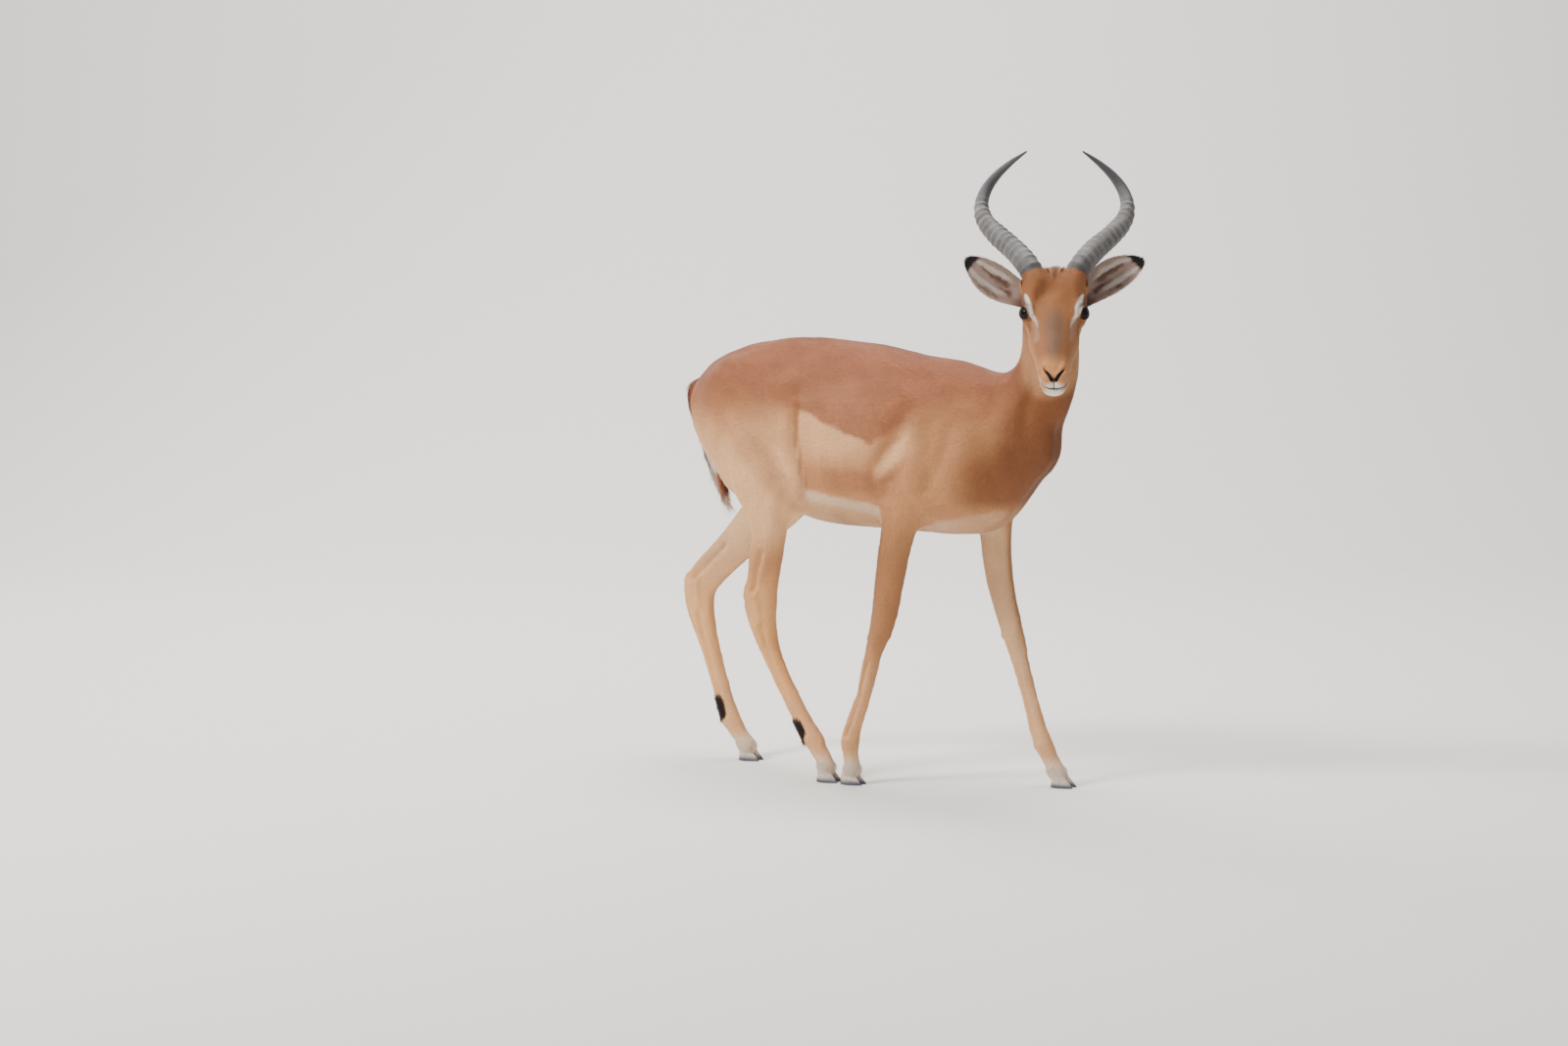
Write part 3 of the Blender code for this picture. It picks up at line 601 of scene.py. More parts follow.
for side in (1, -1):
    nostril, mouth = head_path(side, *NOSTRIL), head_path(side, *MOUTH)
    muzzle += [
        # the rise above each nostril and below it, the slit itself, the upper lip, the lower lip,
        # and the line of the mouth
        ([place - NOSE * 0.007 + BROW * 0.004 for place in nostril], 0.0070, 0.0024),
        ([place + NOSE * 0.007 - BROW * 0.002 for place in nostril[:3]], 0.0070, 0.0020),
        (nostril, 0.0040, -0.0058),
        (head_path(side, (0.236, -0.018, 0.009), (0.230, -0.022, 0.017)), 0.0085, 0.0020),
        ([place - BROW * 0.007 for place in mouth[:4]], 0.0070, 0.0020),
        (mouth, 0.0034, -0.0034),
    ]


def near_path(at, path, widths):
    """How far points lie from a path laid on the skin, in half widths of the path."""
    laid = lay(path)
    stations = np.linspace(0, 1, len(path))
    widths = np.interp(np.linspace(0, 1, len(laid)), stations, np.broadcast_to(widths, len(path)))
    nearest = np.full(len(at), 99.0)
    for number, (start, end) in enumerate(zip(laid, laid[1:])):
        reach, share = from_line(at, start, end)
        nearest = np.minimum(nearest, reach / (widths[number] * (1 - share) + widths[number + 1] * share))
    return nearest


def mark_bare(column, path, widths, start, end, strength=1):
    """Makes points bare that lie near a path, from start to end of its half widths."""
    reach = near_path(points, path, widths)
    bare[:, column] = np.maximum(bare[:, column], strength * fall(reach, start, end))


for side in (1, -1):
    mark_bare(1, head_path(side, *NOSTRIL), (0.0013, 0.0026, 0.0038, 0.0042), 0.75, 1.15)
mark_bare(1, PHILTRUM, (0.0040, 0.0010, 0.0008), 0.7, 1.4, 0.9)
for side in (1, -1):
    mark_bare(2, head_path(side, *MOUTH), (0.0019, 0.0018, 0.0014, 0.0011, 0.0009, 0.0007), 0.8, 1.5)
sculpt(muzzle)
even_out(skin.data, 1)
points = points_of(skin.data)
normals = normals_of(skin.data)

# Below each coronet the skin is the hidden core that the hoof is seated on.
core = points[:, 2] < 0.034
points -= normals * (0.0028 * fall(points[:, 2], 0.024, 0.038))[:, None]
points[:, 2] = np.where(core, np.maximum(points[:, 2], 0.003), points[:, 2])
place_points(skin.data, points)

# ---------------------------------------------------------------- markings
# The coat's colours, one rule for skin and hair alike: rufous saddle, tan flanks and legs, white
# belly, throat and muzzle, and the black marks of the ears, nose, buttocks, tail and hind feet.

PALETTE = {
    "saddle": colour(160, 97, 66),
    "tan": colour(200, 141, 94),
    "pale": colour(244, 190, 138),
    "cream": colour(238, 202, 158),
    "white": colour(240, 232, 220),
    "neck": colour(136, 82, 48),
    "brown": colour(92, 58, 42),
    "blaze": colour(126, 100, 82),
    "orange": colour(156, 97, 57),
    "bright": colour(216, 150, 96),
    "cheek": colour(204, 152, 108),
    "gold": colour(252, 190, 122),
    "pink": colour(188, 162, 146),
    "black": colour(24, 20, 20),
    "nose": colour(20, 18, 19),
    "gland": colour(40, 27, 27),
}
SADDLE_X = (-0.46, -0.33, -0.23, -0.164, -0.081, 0.011, 0.053, 0.094, 0.141, 0.231, 0.30)
SADDLE_Z = (0.770, 0.780, 0.785, 0.782, 0.750, 0.716, 0.740, 0.762, 0.775, 0.775, 0.77)
FADE_X = (-0.30, -0.17, -0.08, 0.01, 0.06, 0.12, 0.20)
FADE = (0.13, 0.016, 0.010, 0.012, 0.040, 0.080, 0.14)  # height over which the saddle fades out
FOLD_Z = (0.60, 0.65, 0.70, 0.75, 0.79)
FOLD_X = (-0.152, -0.153, -0.159, -0.164, -0.163)  # of the flank's fold


def wobble(at, scale, seed):
    """Smooth irregular values of about -1 to 1 that break up the edges of a marking."""
    rng = np.random.default_rng(seed)
    total = np.zeros(len(at))
    for _ in range(6):
        wave = rng.normal(size=3)
        wave *= scale * rng.uniform(0.6, 1.6) / np.linalg.norm(wave)
        total += np.sin(at @ wave + rng.uniform(0, 6.28))
    return total / 3.2


def hump(values, middle, reach):
    """1 at the middle and 0 beyond reach on each side of it."""
    return fall(np.abs(values - middle), 0.3 * reach, reach)


def blend(first, second, share):
    """Row by row, the first where share is 0 and the second where it is 1."""
    share = np.reshape(share, (-1, 1))
    return first * (1 - share) + second * share


def paint(base, name, mask):
    """Lays a colour on the rows of base, as strongly as mask says."""
    base[:] = blend(base, np.array(PALETTE[name]), np.clip(mask, 0, 1))
    return base


GLANDS = (  # middle, and the cannon's direction
    (np.array((-0.183, -0.026, 0.108)), unit((-0.42, 0.0, 0.91))),
    (np.array((-0.460, 0.143, 0.115)), unit((-0.20, 0.0, 0.98))),
)


def gland_tuft(at, rough):
    """1 on the dark patch of a hind gland and 0 off it."""
    share = np.zeros(len(at))
    for middle, shaft in GLANDS:
        off = at - middle
        forward = off @ np.cross((0, 1, 0), shaft)
        outwards = np.sqrt((off @ shaft / 0.0295) ** 2 + (forward / 0.0205) ** 2 + (off[:, 1] / 0.040) ** 2)
        share = np.maximum(share, fall(outwards + 0.06 * rough, 0.88, 1.06))
    return share


def on_tail(at):
    x, y, z = at.T
    rear = np.interp(z, (0.56, 0.67, 0.79, 0.83), (-0.372, -0.424, -0.458, -0.452))
    return (x < rear) & (np.abs(y - MIDDLE_Y) < 0.022) & (z < 0.842) & (z > 0.545)


def body_markings(at, facing):
    x, y, z = at.T
    rough = wobble(at, 160, 1) * 0.5 + wobble(at, 420, 2) * 0.3
    off = np.abs(y - MIDDLE_Y)
    sideways = off / 0.130
    right = y < MIDDLE_Y
    tone = np.tile(PALETTE["tan"], (len(at), 1))
    # saddle over the back, fading down the shoulder and haunch, with a sharp edge on the flank
    edge = np.interp(x, SADDLE_X, SADDLE_Z) + 0.004 * rough
    fade = np.interp(x, FADE_X, FADE)
    fold = x - np.interp(z, FOLD_Z, FOLD_X) + 0.002 * rough  # ahead of the flank's fold
    flank = ramp(fold, -0.005, 0.004) * fall(x, 0.000, 0.050)
    # the pale tan of the flank, fading out downwards, and a darker band low on it above the belly: the
    # fading and the band are painted shade where the flank curves under
    paint(tone, "pale", 0.80 * flank * ramp(z, 0.655, 0.720) * (1 - ramp(x, -0.06, 0.03) * 0.6))
    paint(tone, "saddle", 0.55 * ramp(x, -0.15, -0.07) * fall(x, 0.03, 0.05) * hump(z, 0.638, 0.035))
    # a painted highlight: the pale wedge behind the shoulder, with painted shade in the folds that edge it
    # in front and behind
    s, t = (x - 0.015) * 0.67 + (z - 0.645) * 0.74, (x - 0.015) * 0.74 - (z - 0.645) * 0.67
    side = sideways > 0.4
    broad = 0.006 + 0.18 * np.clip(s, 0, 0.11)
    highlight_wedge = fall(np.abs(t - 0.001) / broad, 0.15, 1.75) * ramp(s, -0.015, 0.055) * fall(s, 0.070, 0.160)
    paint(tone, "saddle", ramp((z - edge) / fade, -0.5, 0.5) * (0.86 + 0.14 * ramp(z, 0.80, 0.90)))
    # painted highlight on the wedge
    paint(tone, "pale", 0.95 * highlight_wedge * side)
    # painted shade in the fold in front of the wedge, and in the one behind it
    ahead = fall(np.hypot((t - 0.020) / 0.016, (s - 0.045) / 0.050), 0.4, 1.2) * side
    paint(tone, "neck", 0.22 * ahead)
    paint(tone, "saddle", 0.28 * side * fall(np.hypot((t + 0.022) / 0.014, (s - 0.055) / 0.050), 0.1, 1.4))
    paint(tone, "brown", 0.18 * ramp(z, 0.87, 0.93) * fall(sideways, 0.05, 0.35))
    # haunch: paler low down, partly a painted highlight on the thigh, with painted shade slanting across it
    # where its muscles part, and painted shade along the flank's fold
    haunch = fall(fold, -0.014, 0.002) * fall(z, 0.70, 0.80) * ramp(z, 0.45, 0.55)
    paint(tone, "pale", 0.95 * haunch * (1 - 0.4 * ramp(z, 0.65, 0.73)))
    paint(tone, "saddle", 0.30 * haunch * hump((x + 0.27) + 0.9 * (z - 0.70), 0, 0.055))
    paint(tone, "saddle", 0.34 * hump(fold, -0.003, 0.007) * ramp(z, 0.60, 0.66) * fall(z, 0.77, 0.80))
    paint(tone, "neck", 0.16 * ramp(-x, 0.12, 0.34) * ramp(z, 0.77, 0.85))
    # neck and breast, darkest low in front: their own rufous, darkened in part by painted shade under the
    # neck and head
    paint(tone, "neck", 0.95 * ramp(x + 0.25 * (0.80 - z), 0.255, 0.320) * ramp(z, 0.60, 0.68))
    paint(tone, "neck", 0.88 * ramp(x, 0.15, 0.24) * fall(z, 0.66, 0.76) * ramp(z, 0.575, 0.615))
    # painted shade: extra brown low on the breast
    paint(tone, "brown", 0.16 * ramp(x, 0.24, 0.32) * hump(z, 0.68, 0.10))
    paint(tone, "orange", 0.30 * ramp(x, 0.26, 0.34) * ramp(z, 0.84, 0.94))
    # lower flank and belly, between the legs: a cream strip, kept dim as painted shade, with a painted
    # highlight along its top and painted shade further under on the sides
    legs_x = np.where(right, 0.073, 0.190), np.where(right, -0.235, -0.260)
    between = ramp(np.abs(x - legs_x[0]), 0.050, 0.062) * ramp(fold, -0.012, 0.004)
    under = ramp(-facing[:, 2], 0.35, 0.80) * (z < 0.66) * (z > 0.50)
    between = np.maximum(between, under * (sideways < 0.62))
    crest = np.interp(x, (-0.16, -0.10, 0.03, 0.11, 0.20, 0.27), (0.622, 0.610, 0.592, 0.560, 0.578, 0.590))
    belly = fall(z - crest + 0.004 * rough, -0.006, 0.004) * ramp(z, 0.50, 0.52) * fall(x, 0.24, 0.30)
    belly = belly * (1 - 0.35 * ramp(x, 0.08, 0.11))
    paint(tone, "cream", 0.52 * belly * between)
    # painted highlight: a whiter band along the top of the belly's strip
    line = hump(z, crest - 0.014, 0.014) * (1 - 0.8 * ramp(x, 0.16, 0.22))
    paint(tone, "white", 0.24 * belly * between * line)
    # painted shade further under, on the sides of the belly
    paint(tone, "tan", 0.35 * belly * between * ramp(crest - z, 0.022, 0.045) * (sideways > 0.2))
    # inner sides of the legs, and the groin
    inner = np.where(right, facing[:, 1], -facing[:, 1])
    paint(tone, "cream", 0.60 * ramp(inner, 0.10, 0.80) * fall(z, 0.60, 0.66) * ramp(z, 0.05, 0.10))
    gaskin = ramp(-facing[:, 0], 0.3, 0.9) * (x < -0.15) * fall(z, 0.60, 0.70) * ramp(z, 0.34, 0.42)
    paint(tone, "cream", 0.60 * gaskin)
    # legs: darker and warmer above, paler below and behind, whitish above the hooves; the dark on the
    # forearms' outsides is painted shade
    low = fall(z, 0.34, 0.56)
    fore = ramp(x, -0.12, -0.08)
    # painted shade on the outside of each forearm
    paint(tone, "neck", 0.42 * fore * hump(z, 0.42, 0.20) * fall(inner, 0.0, 0.5))
    paler = low * (1 - 0.7 * fore * ramp(z, 0.22, 0.34)) * ramp(-facing[:, 0], -0.5, 0.8)
    paint(tone, "pale", 0.50 * paler)
    paint(tone, "bright", 0.25 * (1 - fore) * hump(z, 0.42, 0.10) * fall(inner, -0.2, 0.5))
    paint(tone, "pale", 0.75 * (1 - 0.30 * fore) * fall(z, 0.16, 0.32))
    paint(tone, "gold", 0.60 * (1 - fore) * hump(z, 0.29, 0.19))
    paint(tone, "cream", 0.80 * fall(z + 0.004 * rough, 0.046, 0.082))
    paint(tone, "white", 0.60 * fall(z + 0.004 * rough, 0.036, 0.066))
    # rump: white under the tail, and a black stripe down each buttock
    behind = ramp(-facing[:, 0], 0.45, 0.80) * (x < -0.33)
    white = fall(off, 0.030, 0.044) * ramp(z, 0.56, 0.62) * fall(z, 0.76, 0.79)
    paint(tone, "white", 0.92 * behind * white)
    line = off - np.interp(z, (0.55, 0.70, 0.80), (0.060, 0.050, 0.038)) + 0.001 * rough
    stripe = fall(np.abs(line), 0.0050, 0.0090) * ramp(z, 0.580, 0.620) * fall(z, 0.750, 0.780)
    paint(tone, "black", 0.92 * stripe * ramp(-facing[:, 0], 0.25, 0.6) * (x < -0.33))
    # the dark tuft over the gland behind each hind cannon
    paint(tone, "gland", gland_tuft(at, rough))
    # tail: rufous with a black line, white beneath and at the tip
    hair = np.tile(PALETTE["saddle"], (len(at), 1))
    paint(hair, "white", ramp(off, 0.009, 0.013) * fall(z, 0.70, 0.78))
    paint(hair, "black", fall(off, 0.004, 0.007) * ramp(-z, -0.78, -0.70) * ramp(z, 0.58, 0.62))
    paint(hair, "white", fall(z, 0.575, 0.61))
    return np.where(on_tail(at)[:, None], hair, tone)


STREAK = (
    (0.044, 0.000, 0.0590),
    (0.058, 0.002, 0.0548),
    (0.074, 0.001, 0.0482),
    (0.091, -0.004, 0.0425),
    (0.112, -0.008, 0.0360),
)
STREAK_HALF_WIDTHS = (0.0040, 0.0078, 0.0070, 0.0042, 0.0020)


def head_markings(at, facing, bare):
    """bare is how near points are to the lids' rims, the nostrils and the mouth's line."""
    along, out, left = head_axes(at)
    rough = wobble(at, 300, 3) * 0.6 + wobble(at, 800, 4) * 0.3
    tone = np.tile(PALETTE["cheek"], (len(at), 1))
    top = ramp(out, -0.050, -0.014)
    paint(tone, "orange", 0.85 * top)
    paint(tone, "neck", 0.28 * top * fall(along, 0.040, 0.075))
    paint(tone, "bright", 0.75 * top * ramp(along, 0.165, 0.195))
    down_face = (0.05, 0.08, 0.11, 0.15, 0.18, 0.20)
    width = np.interp(along, down_face, (0.006, 0.016, 0.021, 0.019, 0.014, 0.008))
    bridge = fall(np.abs(left) + 0.003 * rough, width * 0.35, width * 1.30) * ramp(out, -0.030, -0.010)
    paint(tone, "blaze", 0.72 * bridge * ramp(along, 0.060, 0.105) * fall(along, 0.165, 0.200))
    crown = fall(np.hypot((along + 0.002) / 0.018, left / 0.0060) + 0.2 * rough, 0.6, 1.1)
    paint(tone, "brown", 0.85 * crown * ramp(out, -0.02, 0))
    # under the jaw, and the side of the cheek towards the neck
    jaw = fall(out, -0.090, -0.076) * fall(np.abs(left), 0.018, 0.030) * ramp(along, 0.05, 0.11)
    jaw = jaw * ramp(-facing @ BROW, 0.2, 0.6)
    paint(tone, "white", 0.85 * jaw)
    back = fall(along, 0.015, 0.070) * fall(out, -0.045, -0.020)
    paint(tone, "neck", 0.45 * back)
    paint(tone, "neck", 0.35 * fall(out, -0.078, -0.058) * (1 - jaw) * fall(along, 0.15, 0.19))
    for side, eye in EYES.items():
        off = at - eye
        a, o, l = off @ NOSE, off @ BROW, (off @ LEFT) * side
        # a white streak over the eye that runs down its inner corner
        reach = near_path(at, head_path(side, *STREAK), STREAK_HALF_WIDTHS)
        streak = fall(reach + 0.25 * rough, 0.50, 1.30) * (1 - 0.7 * ramp(a, 0.015, 0.042))
        paint(tone, "white", 0.90 * streak)
        tear = near_path(at, head_path(side, (0.098, -0.008, 0.041), (0.132, -0.014, 0.039)), 0.0075)
        paint(tone, "pink", 0.38 * fall(tear + 0.2 * rough, 0.2, 1.6))
        under = near_path(at, head_path(side, (0.100, -0.018, 0.050), (0.118, -0.028, 0.050)), 0.0040)
        paint(tone, "brown", 0.35 * fall(under, 0.3, 1.5))
        below = np.hypot((a - 0.012) / 0.028, (o + 0.024) / 0.012)
        paint(tone, "cream", 0.45 * fall(below, 0.6, 1.2) * (l > -0.006))
        band = head_path(side, (0.086, -0.042, 0.055), (0.128, -0.044, 0.052))
        paint(tone, "pink", 0.45 * fall(near_path(at, band, (0.013, 0.008)) + 0.2 * rough, 0.4, 1.4))
        lash = np.hypot((a + 0.020) / 0.020, (o - 0.004) / 0.012)
        paint(tone, "brown", 0.60 * fall(lash, 0.5, 1.1) * (l > 0.002))
        ring = np.linalg.norm(off, axis=1)
        rim = fall(ring, 0.0195, 0.0245) * (0.30 + 0.50 * ramp(l + 0.3 * o - 0.4 * a, 0.000, 0.014))
        paint(tone, "brown", rim)
    # lips and chin: white about the middle and below, greyish pink at the sides
    lips = ramp(along + 0.10 * np.abs(left), 0.2205, 0.2275) * fall(out, -0.0195, -0.0160)
    paint(tone, "pink", 0.40 * ramp(along, 0.205, 0.222) * fall(out, -0.026, -0.018))
    paint(tone, "white", 0.85 * lips * fall(np.abs(left) + 0.003 * rough, 0.007, 0.023))
    chin = ramp(along, 0.200, 0.218) * fall(out, -0.046, -0.037) * fall(np.abs(left), 0.024, 0.034)
    paint(tone, "white", 0.76 * chin)
    paint(tone, "black", bare[:, 0])
    paint(tone, "nose", bare[:, 1])
    return paint(tone, "nose", 0.95 * bare[:, 2])


def markings(at, facing, bare):
    """The coat's linear colour at points whose skin faces the way that facing says."""
    share = fall(distance(at, HEAD), 0.150, 0.185)
    share *= ramp(at[:, 2], 0.80, 0.83)
    tone = body_markings(at, facing)
    on_head = np.nonzero(share > 0)[0]
    head_tone = head_markings(at[on_head], facing[on_head], bare[on_head])
    tone[on_head] = blend(tone[on_head], head_tone, share[on_head])
    # the white throat, on the neck just below the jaw
    off = at - in_head(0.030, -0.130, 0)
    throat = np.hypot(off @ LEFT / 0.026, (off @ UP - 0.008) / 0.017)
    paint(tone, "white", 0.75 * fall(throat, 0.5, 1.1) * (facing @ FACING > 0.1) * (share < 0.9))
    mottle = 1 + 0.05 * wobble(at, 90, 5) + 0.04 * wobble(at, 900, 6)
    return np.clip(tone * mottle[:, None], 0, 1)


def set_colours(mesh, tones):
    layer = mesh.color_attributes.new("Coat", "FLOAT_COLOR", "POINT")
    values = np.hstack((tones, np.ones((len(tones), 1)))).astype(np.float32)
    layer.data.foreach_set("color", values.ravel())


def take_colours(made):
    """Gives a material the piece's own colours, and returns the node they come from."""
    tone = made.node_tree.nodes.new("ShaderNodeAttribute")
    tone.attribute_name = "Coat"
    shader = made.node_tree.nodes["Principled BSDF"]
    made.node_tree.links.new(tone.outputs["Color"], shader.inputs["Base Color"])
    return tone


def add_bump(made, height, strength, reach):
    """Raises and lowers a material's surface by a node's output, over reach metres."""
    raised = made.node_tree.nodes.new("ShaderNodeBump")
    set_sockets(raised, Strength=strength, Distance=reach)
    made.node_tree.links.new(height, raised.inputs["Height"])
    shader = made.node_tree.nodes["Principled BSDF"]
    made.node_tree.links.new(raised.outputs["Normal"], shader.inputs["Normal"])


def coat_material(name, roughness):
    sheen = {"Specular_IOR_Level": 0.25, "Sheen_Weight": 0.10, "Sheen_Roughness": 0.45}
    made = plain_material(name, (0.5, 0.3, 0.2), roughness, **sheen)
    take_colours(made)
    return made


hide = coat_material("hide", 0.80)  # with a bump of fine short hair
place = hide.node_tree.nodes.new("ShaderNodeTexCoord")
noise = hide.node_tree.nodes.new("ShaderNodeTexNoise")
set_sockets(noise, Scale=900, Detail=3)
hide.node_tree.links.new(place.outputs["Object"], noise.inputs["Vector"])
add_bump(hide, noise.outputs["Fac"], 0.45, 0.0006)

skin_tones = markings(points, normals, bare)
# painted shade: dark brown on the core below the coronets, where it shows in the slit between the claws
paint(skin_tones, "brown", fall(points[:, 2], 0.022, 0.030))
set_colours(skin.data, skin_tones)
skin.data.shade_smooth()
skin.data.materials.append(hide)
skin_count = len(skin.data.vertices)

# ---------------------------------------------------------------- ears
# Long cupped leaves of thin gristle under skin, set behind the eyes and opening forwards. They are
# part of the one skin. Inside they are pinkish and pale with dark ribs, with a black tip outside.


def smooth_rows(rows, steps):
    """The rows with steps - 1 more between each two, on a Catmull-Rom curve."""
    rows = np.array(rows, float)
    rows = np.vstack((2 * rows[0] - rows[1], rows, 2 * rows[-1] - rows[-2]))
    dense = []
    for i in range(1, len(rows) - 2):
        a, b, c, d = rows[i - 1 : i + 3]
        for t in np.arange(steps) / steps:
            curve = 2 * b + (c - a) * t + (2 * a - 5 * b + 4 * c - d) * t**2
            dense.append((curve + (3 * b - a - 3 * c + d) * t**3) / 2)
    return np.array(dense + [rows[-2]])


def object_of(bm, name):
    """Makes an object from a bmesh and frees it. Its faces are turned outwards and smooth."""
    bmesh.ops.recalc_face_normals(bm, faces=bm.faces)
    mesh = bpy.data.meshes.new(name)
    bm.to_mesh(mesh)
    bm.free()
    mesh.shade_smooth()
    obj = bpy.data.objects.new(name, mesh)
    bpy.context.scene.collection.objects.link(obj)
    return obj


EAR_LENGTH = 0.148
EAR_HALF_WIDTH = 0.034
EAR_AT = (0.0, 0.12, 0.28, 0.45, 0.60, 0.74, 0.86, 0.94, 0.985, 1.0)
EAR_HALF = (0.0215, 0.0250, 0.0305, 0.0340, 0.0335, 0.0290, 0.0215, 0.0145, 0.0080, 0.0030)
ears = {}
deselect()
for side in (1, -1):
    root = in_head(0.014, -0.060, side * 0.052)
    reach = unit(LEFT * (side * 0.80) + UP * 0.50 - FACING * 0.16)
    opening = FACING + LEFT * (side * 0.12)
    opening = unit(opening - reach * (opening @ reach))
    across = np.cross(reach, opening)
    rows, columns = 46, 26
    grid_t, grid_a = np.meshgrid(np.linspace(0, 1, rows), np.linspace(-1, 1, columns), indexing="ij")
    profile = smooth_rows(list(zip(EAR_AT, EAR_HALF)), 12)
    half = np.interp(grid_t, profile[:, 0], profile[:, 1])
    cup = (0.030 * (1 - grid_t) ** 0.8 + 0.006) * half / EAR_HALF_WIDTH
    bow = 1 - grid_a**2
    centre = root + reach * (EAR_LENGTH * 0.995 * grid_t[..., None])
    centre = centre + across * (-0.006 * np.sin(math.pi * grid_t))[..., None]
    outer = centre + across * (half * grid_a * 0.97)[..., None] - opening * (cup * bow - 0.0006)[..., None]
    wall = 0.0009 + 0.0020 * bow * (1 - grid_t)
    ribs = 0.0011 * np.cos(grid_a * 11 + 1.5) * bow * np.sin(math.pi * np.clip(grid_t * 1.1, 0, 1))
    inner = outer + opening * (wall + ribs)[..., None]
    bm = bmesh.new()
    sheets = [[[bm.verts.new(point) for point in row] for row in sheet] for sheet in (outer, inner)]
    for number, sheet in enumerate(sheets):
        for i in range(rows - 1):
            for j in range(columns - 1):
                corners = (sheet[i][j], sheet[i][j + 1], sheet[i + 1][j + 1], sheet[i + 1][j])
                bm.faces.new(corners if number else corners[::-1])
    rim = [(i, 0) for i in range(rows)] + [(rows - 1, j) for j in range(1, columns)]
    rim += [(i, columns - 1) for i in range(rows - 2, -1, -1)] + [(0, j) for j in range(columns - 2, 0, -1)]
    for (i, j), (k, m) in zip(rim, rim[1:] + rim[:1]):
        bm.faces.new((sheets[0][i][j], sheets[0][k][m], sheets[1][k][m], sheets[1][i][j]))
    obj = object_of(bm, "ear")
    obj.data.materials.append(hide)
    obj.select_set(True)
    ears[side] = root, reach, across, opening
    t, a = np.tile(grid_t.ravel(), 2), np.tile(grid_a.ravel(), 2)
    inside = np.repeat((0.0, 1.0), rows * columns)
    at = points_of(obj.data)
    upper = a * (-1 if (across @ UP) < 0 else 1)  # towards the ear's top edge
    rough = wobble(at, 260, 7) * 0.5 + wobble(at, 700, 8) * 0.4
    tone = np.tile(colour(168, 118, 84), (len(at), 1))
    # the inside's pink is dulled, and its pale hair below is painted at half strength: partly painted shade
    pink = np.tile(colour(168, 142, 130), (len(at), 1))
    for middle, lean, width, start, end, share in (
        (0.22, 0.30, 0.13, 0.26, 0.84, 0.85),  # the upper dark rib
        (-0.30, -0.10, 0.12, 0.16, 0.52, 0.85),  # the lower one
        (0.02, 0.05, 0.06, 0.30, 0.66, 0.45),  # a faint one between them
        (-0.76, 0.22, 0.045, 0.32, 0.84, 0.80),  # a thin line inside the lower edge
    ):
        streak = hump(upper + 0.16 * rough, middle + lean * (t - 0.5), width * 2)
        streak *= ramp(t + 0.06 * rough, start, start + 0.10) * fall(t + 0.06 * rough, end - 0.18, end)
        paint(pink, "brown", share * streak)
    paint(pink, "white", 0.50 * hump(upper + 0.10 * rough, 0.55, 0.22) * ramp(t, 0.2, 0.4))
    paint(pink, "white", 0.55 * hump(upper + 0.10 * rough, -0.52, 0.20) * ramp(t, 0.2, 0.4))
    paint(pink, "brown", 0.65 * fall(t, 0.04, 0.20))
    tone = blend(tone, pink, inside)
    paint(tone, "brown", 0.80 * ramp(np.abs(a), 0.93, 0.99) * ramp(t, 0.1, 0.3) * (upper > 0))
    paint(tone, "black", ramp(t + 0.03 * upper + 0.02 * rough, 0.845, 0.880))
    set_colours(obj.data, tone)

skin.select_set(True)
bpy.context.view_layer.objects.active = skin
bpy.ops.object.join()
bpy.ops.object.mode_set(mode="EDIT")
bpy.ops.mesh.select_all(action="SELECT")
bpy.ops.uv.smart_project(angle_limit=1.15, island_margin=0.004, scale_to_bounds=True)
bpy.ops.object.mode_set(mode="OBJECT")
skin.data.uv_layers.active.name = "OFBake"
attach(skin, "root")
covered = [name for name in flesh if not name.startswith(("eye", "hoof"))]
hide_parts(*covered, "ear_left", "ear_right")

# ---------------------------------------------------------------- eyes
# Wet dark balls with a swollen clear front, a brown iris and a long level pupil, seated in the
# lids of the skin.


def gloss_material(name, roughness):
    made = plain_material(name, (0.02, 0.015, 0.01), roughness, Specular_IOR_Level=0.09)
    take_colours(made)
    return made


wet = gloss_material("eye_wet", 0.05)
for (side, eye), name in zip(EYES.items(), ("eye_left", "eye_right")):
    deselect()
    bpy.ops.mesh.primitive_uv_sphere_add(segments=72, ring_count=48, radius=1)
    ball = bpy.context.object
    ball.name = ball.data.name = name + "_ball"
    gaze, slit, above = eye_axes(side)
    at = points_of(ball.data)
    wide = np.arccos(np.clip(at[:, 2], -1, 1))
    flat = np.maximum(np.hypot(at[:, 0], at[:, 1]), 1e-9)
    across, high = wide * at[:, 0] / flat, wide * at[:, 1] / flat
    reach = EYE_RADIUS * (1 + 0.035 * fall(wide, 0.25, 0.80))
    turn = np.array((slit, above, gaze))
    place_points(ball.data, eye + (at @ turn) * reach[:, None])
    if np.linalg.det(turn) < 0:
        ball.data.flip_normals()
    tone = np.tile(colour(36, 23, 16), (len(at), 1))
    tone = tone * (1 + 0.30 * np.sin(40 * np.arctan2(high, across)) * ramp(wide, 0.2, 0.4))[:, None]
    pupil = np.hypot(across / 0.48, high / 0.27)
    paint(tone, "nose", fall(pupil, 0.85, 1.05))
    paint(tone, "nose", ramp(wide, 0.66, 0.80))
    set_colours(ball.data, tone)
    ball.data.shade_smooth()
    ball.data.materials.append(wet)
    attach(ball, "root")
    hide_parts(name)

# ---------------------------------------------------------------- horns
# Lyre-shaped sheaths of grey horn on bone cores, strongly ringed in front for two thirds of their
# length and smooth and dark at the tips. They grow from the brow, rooted in a skirt of hair.

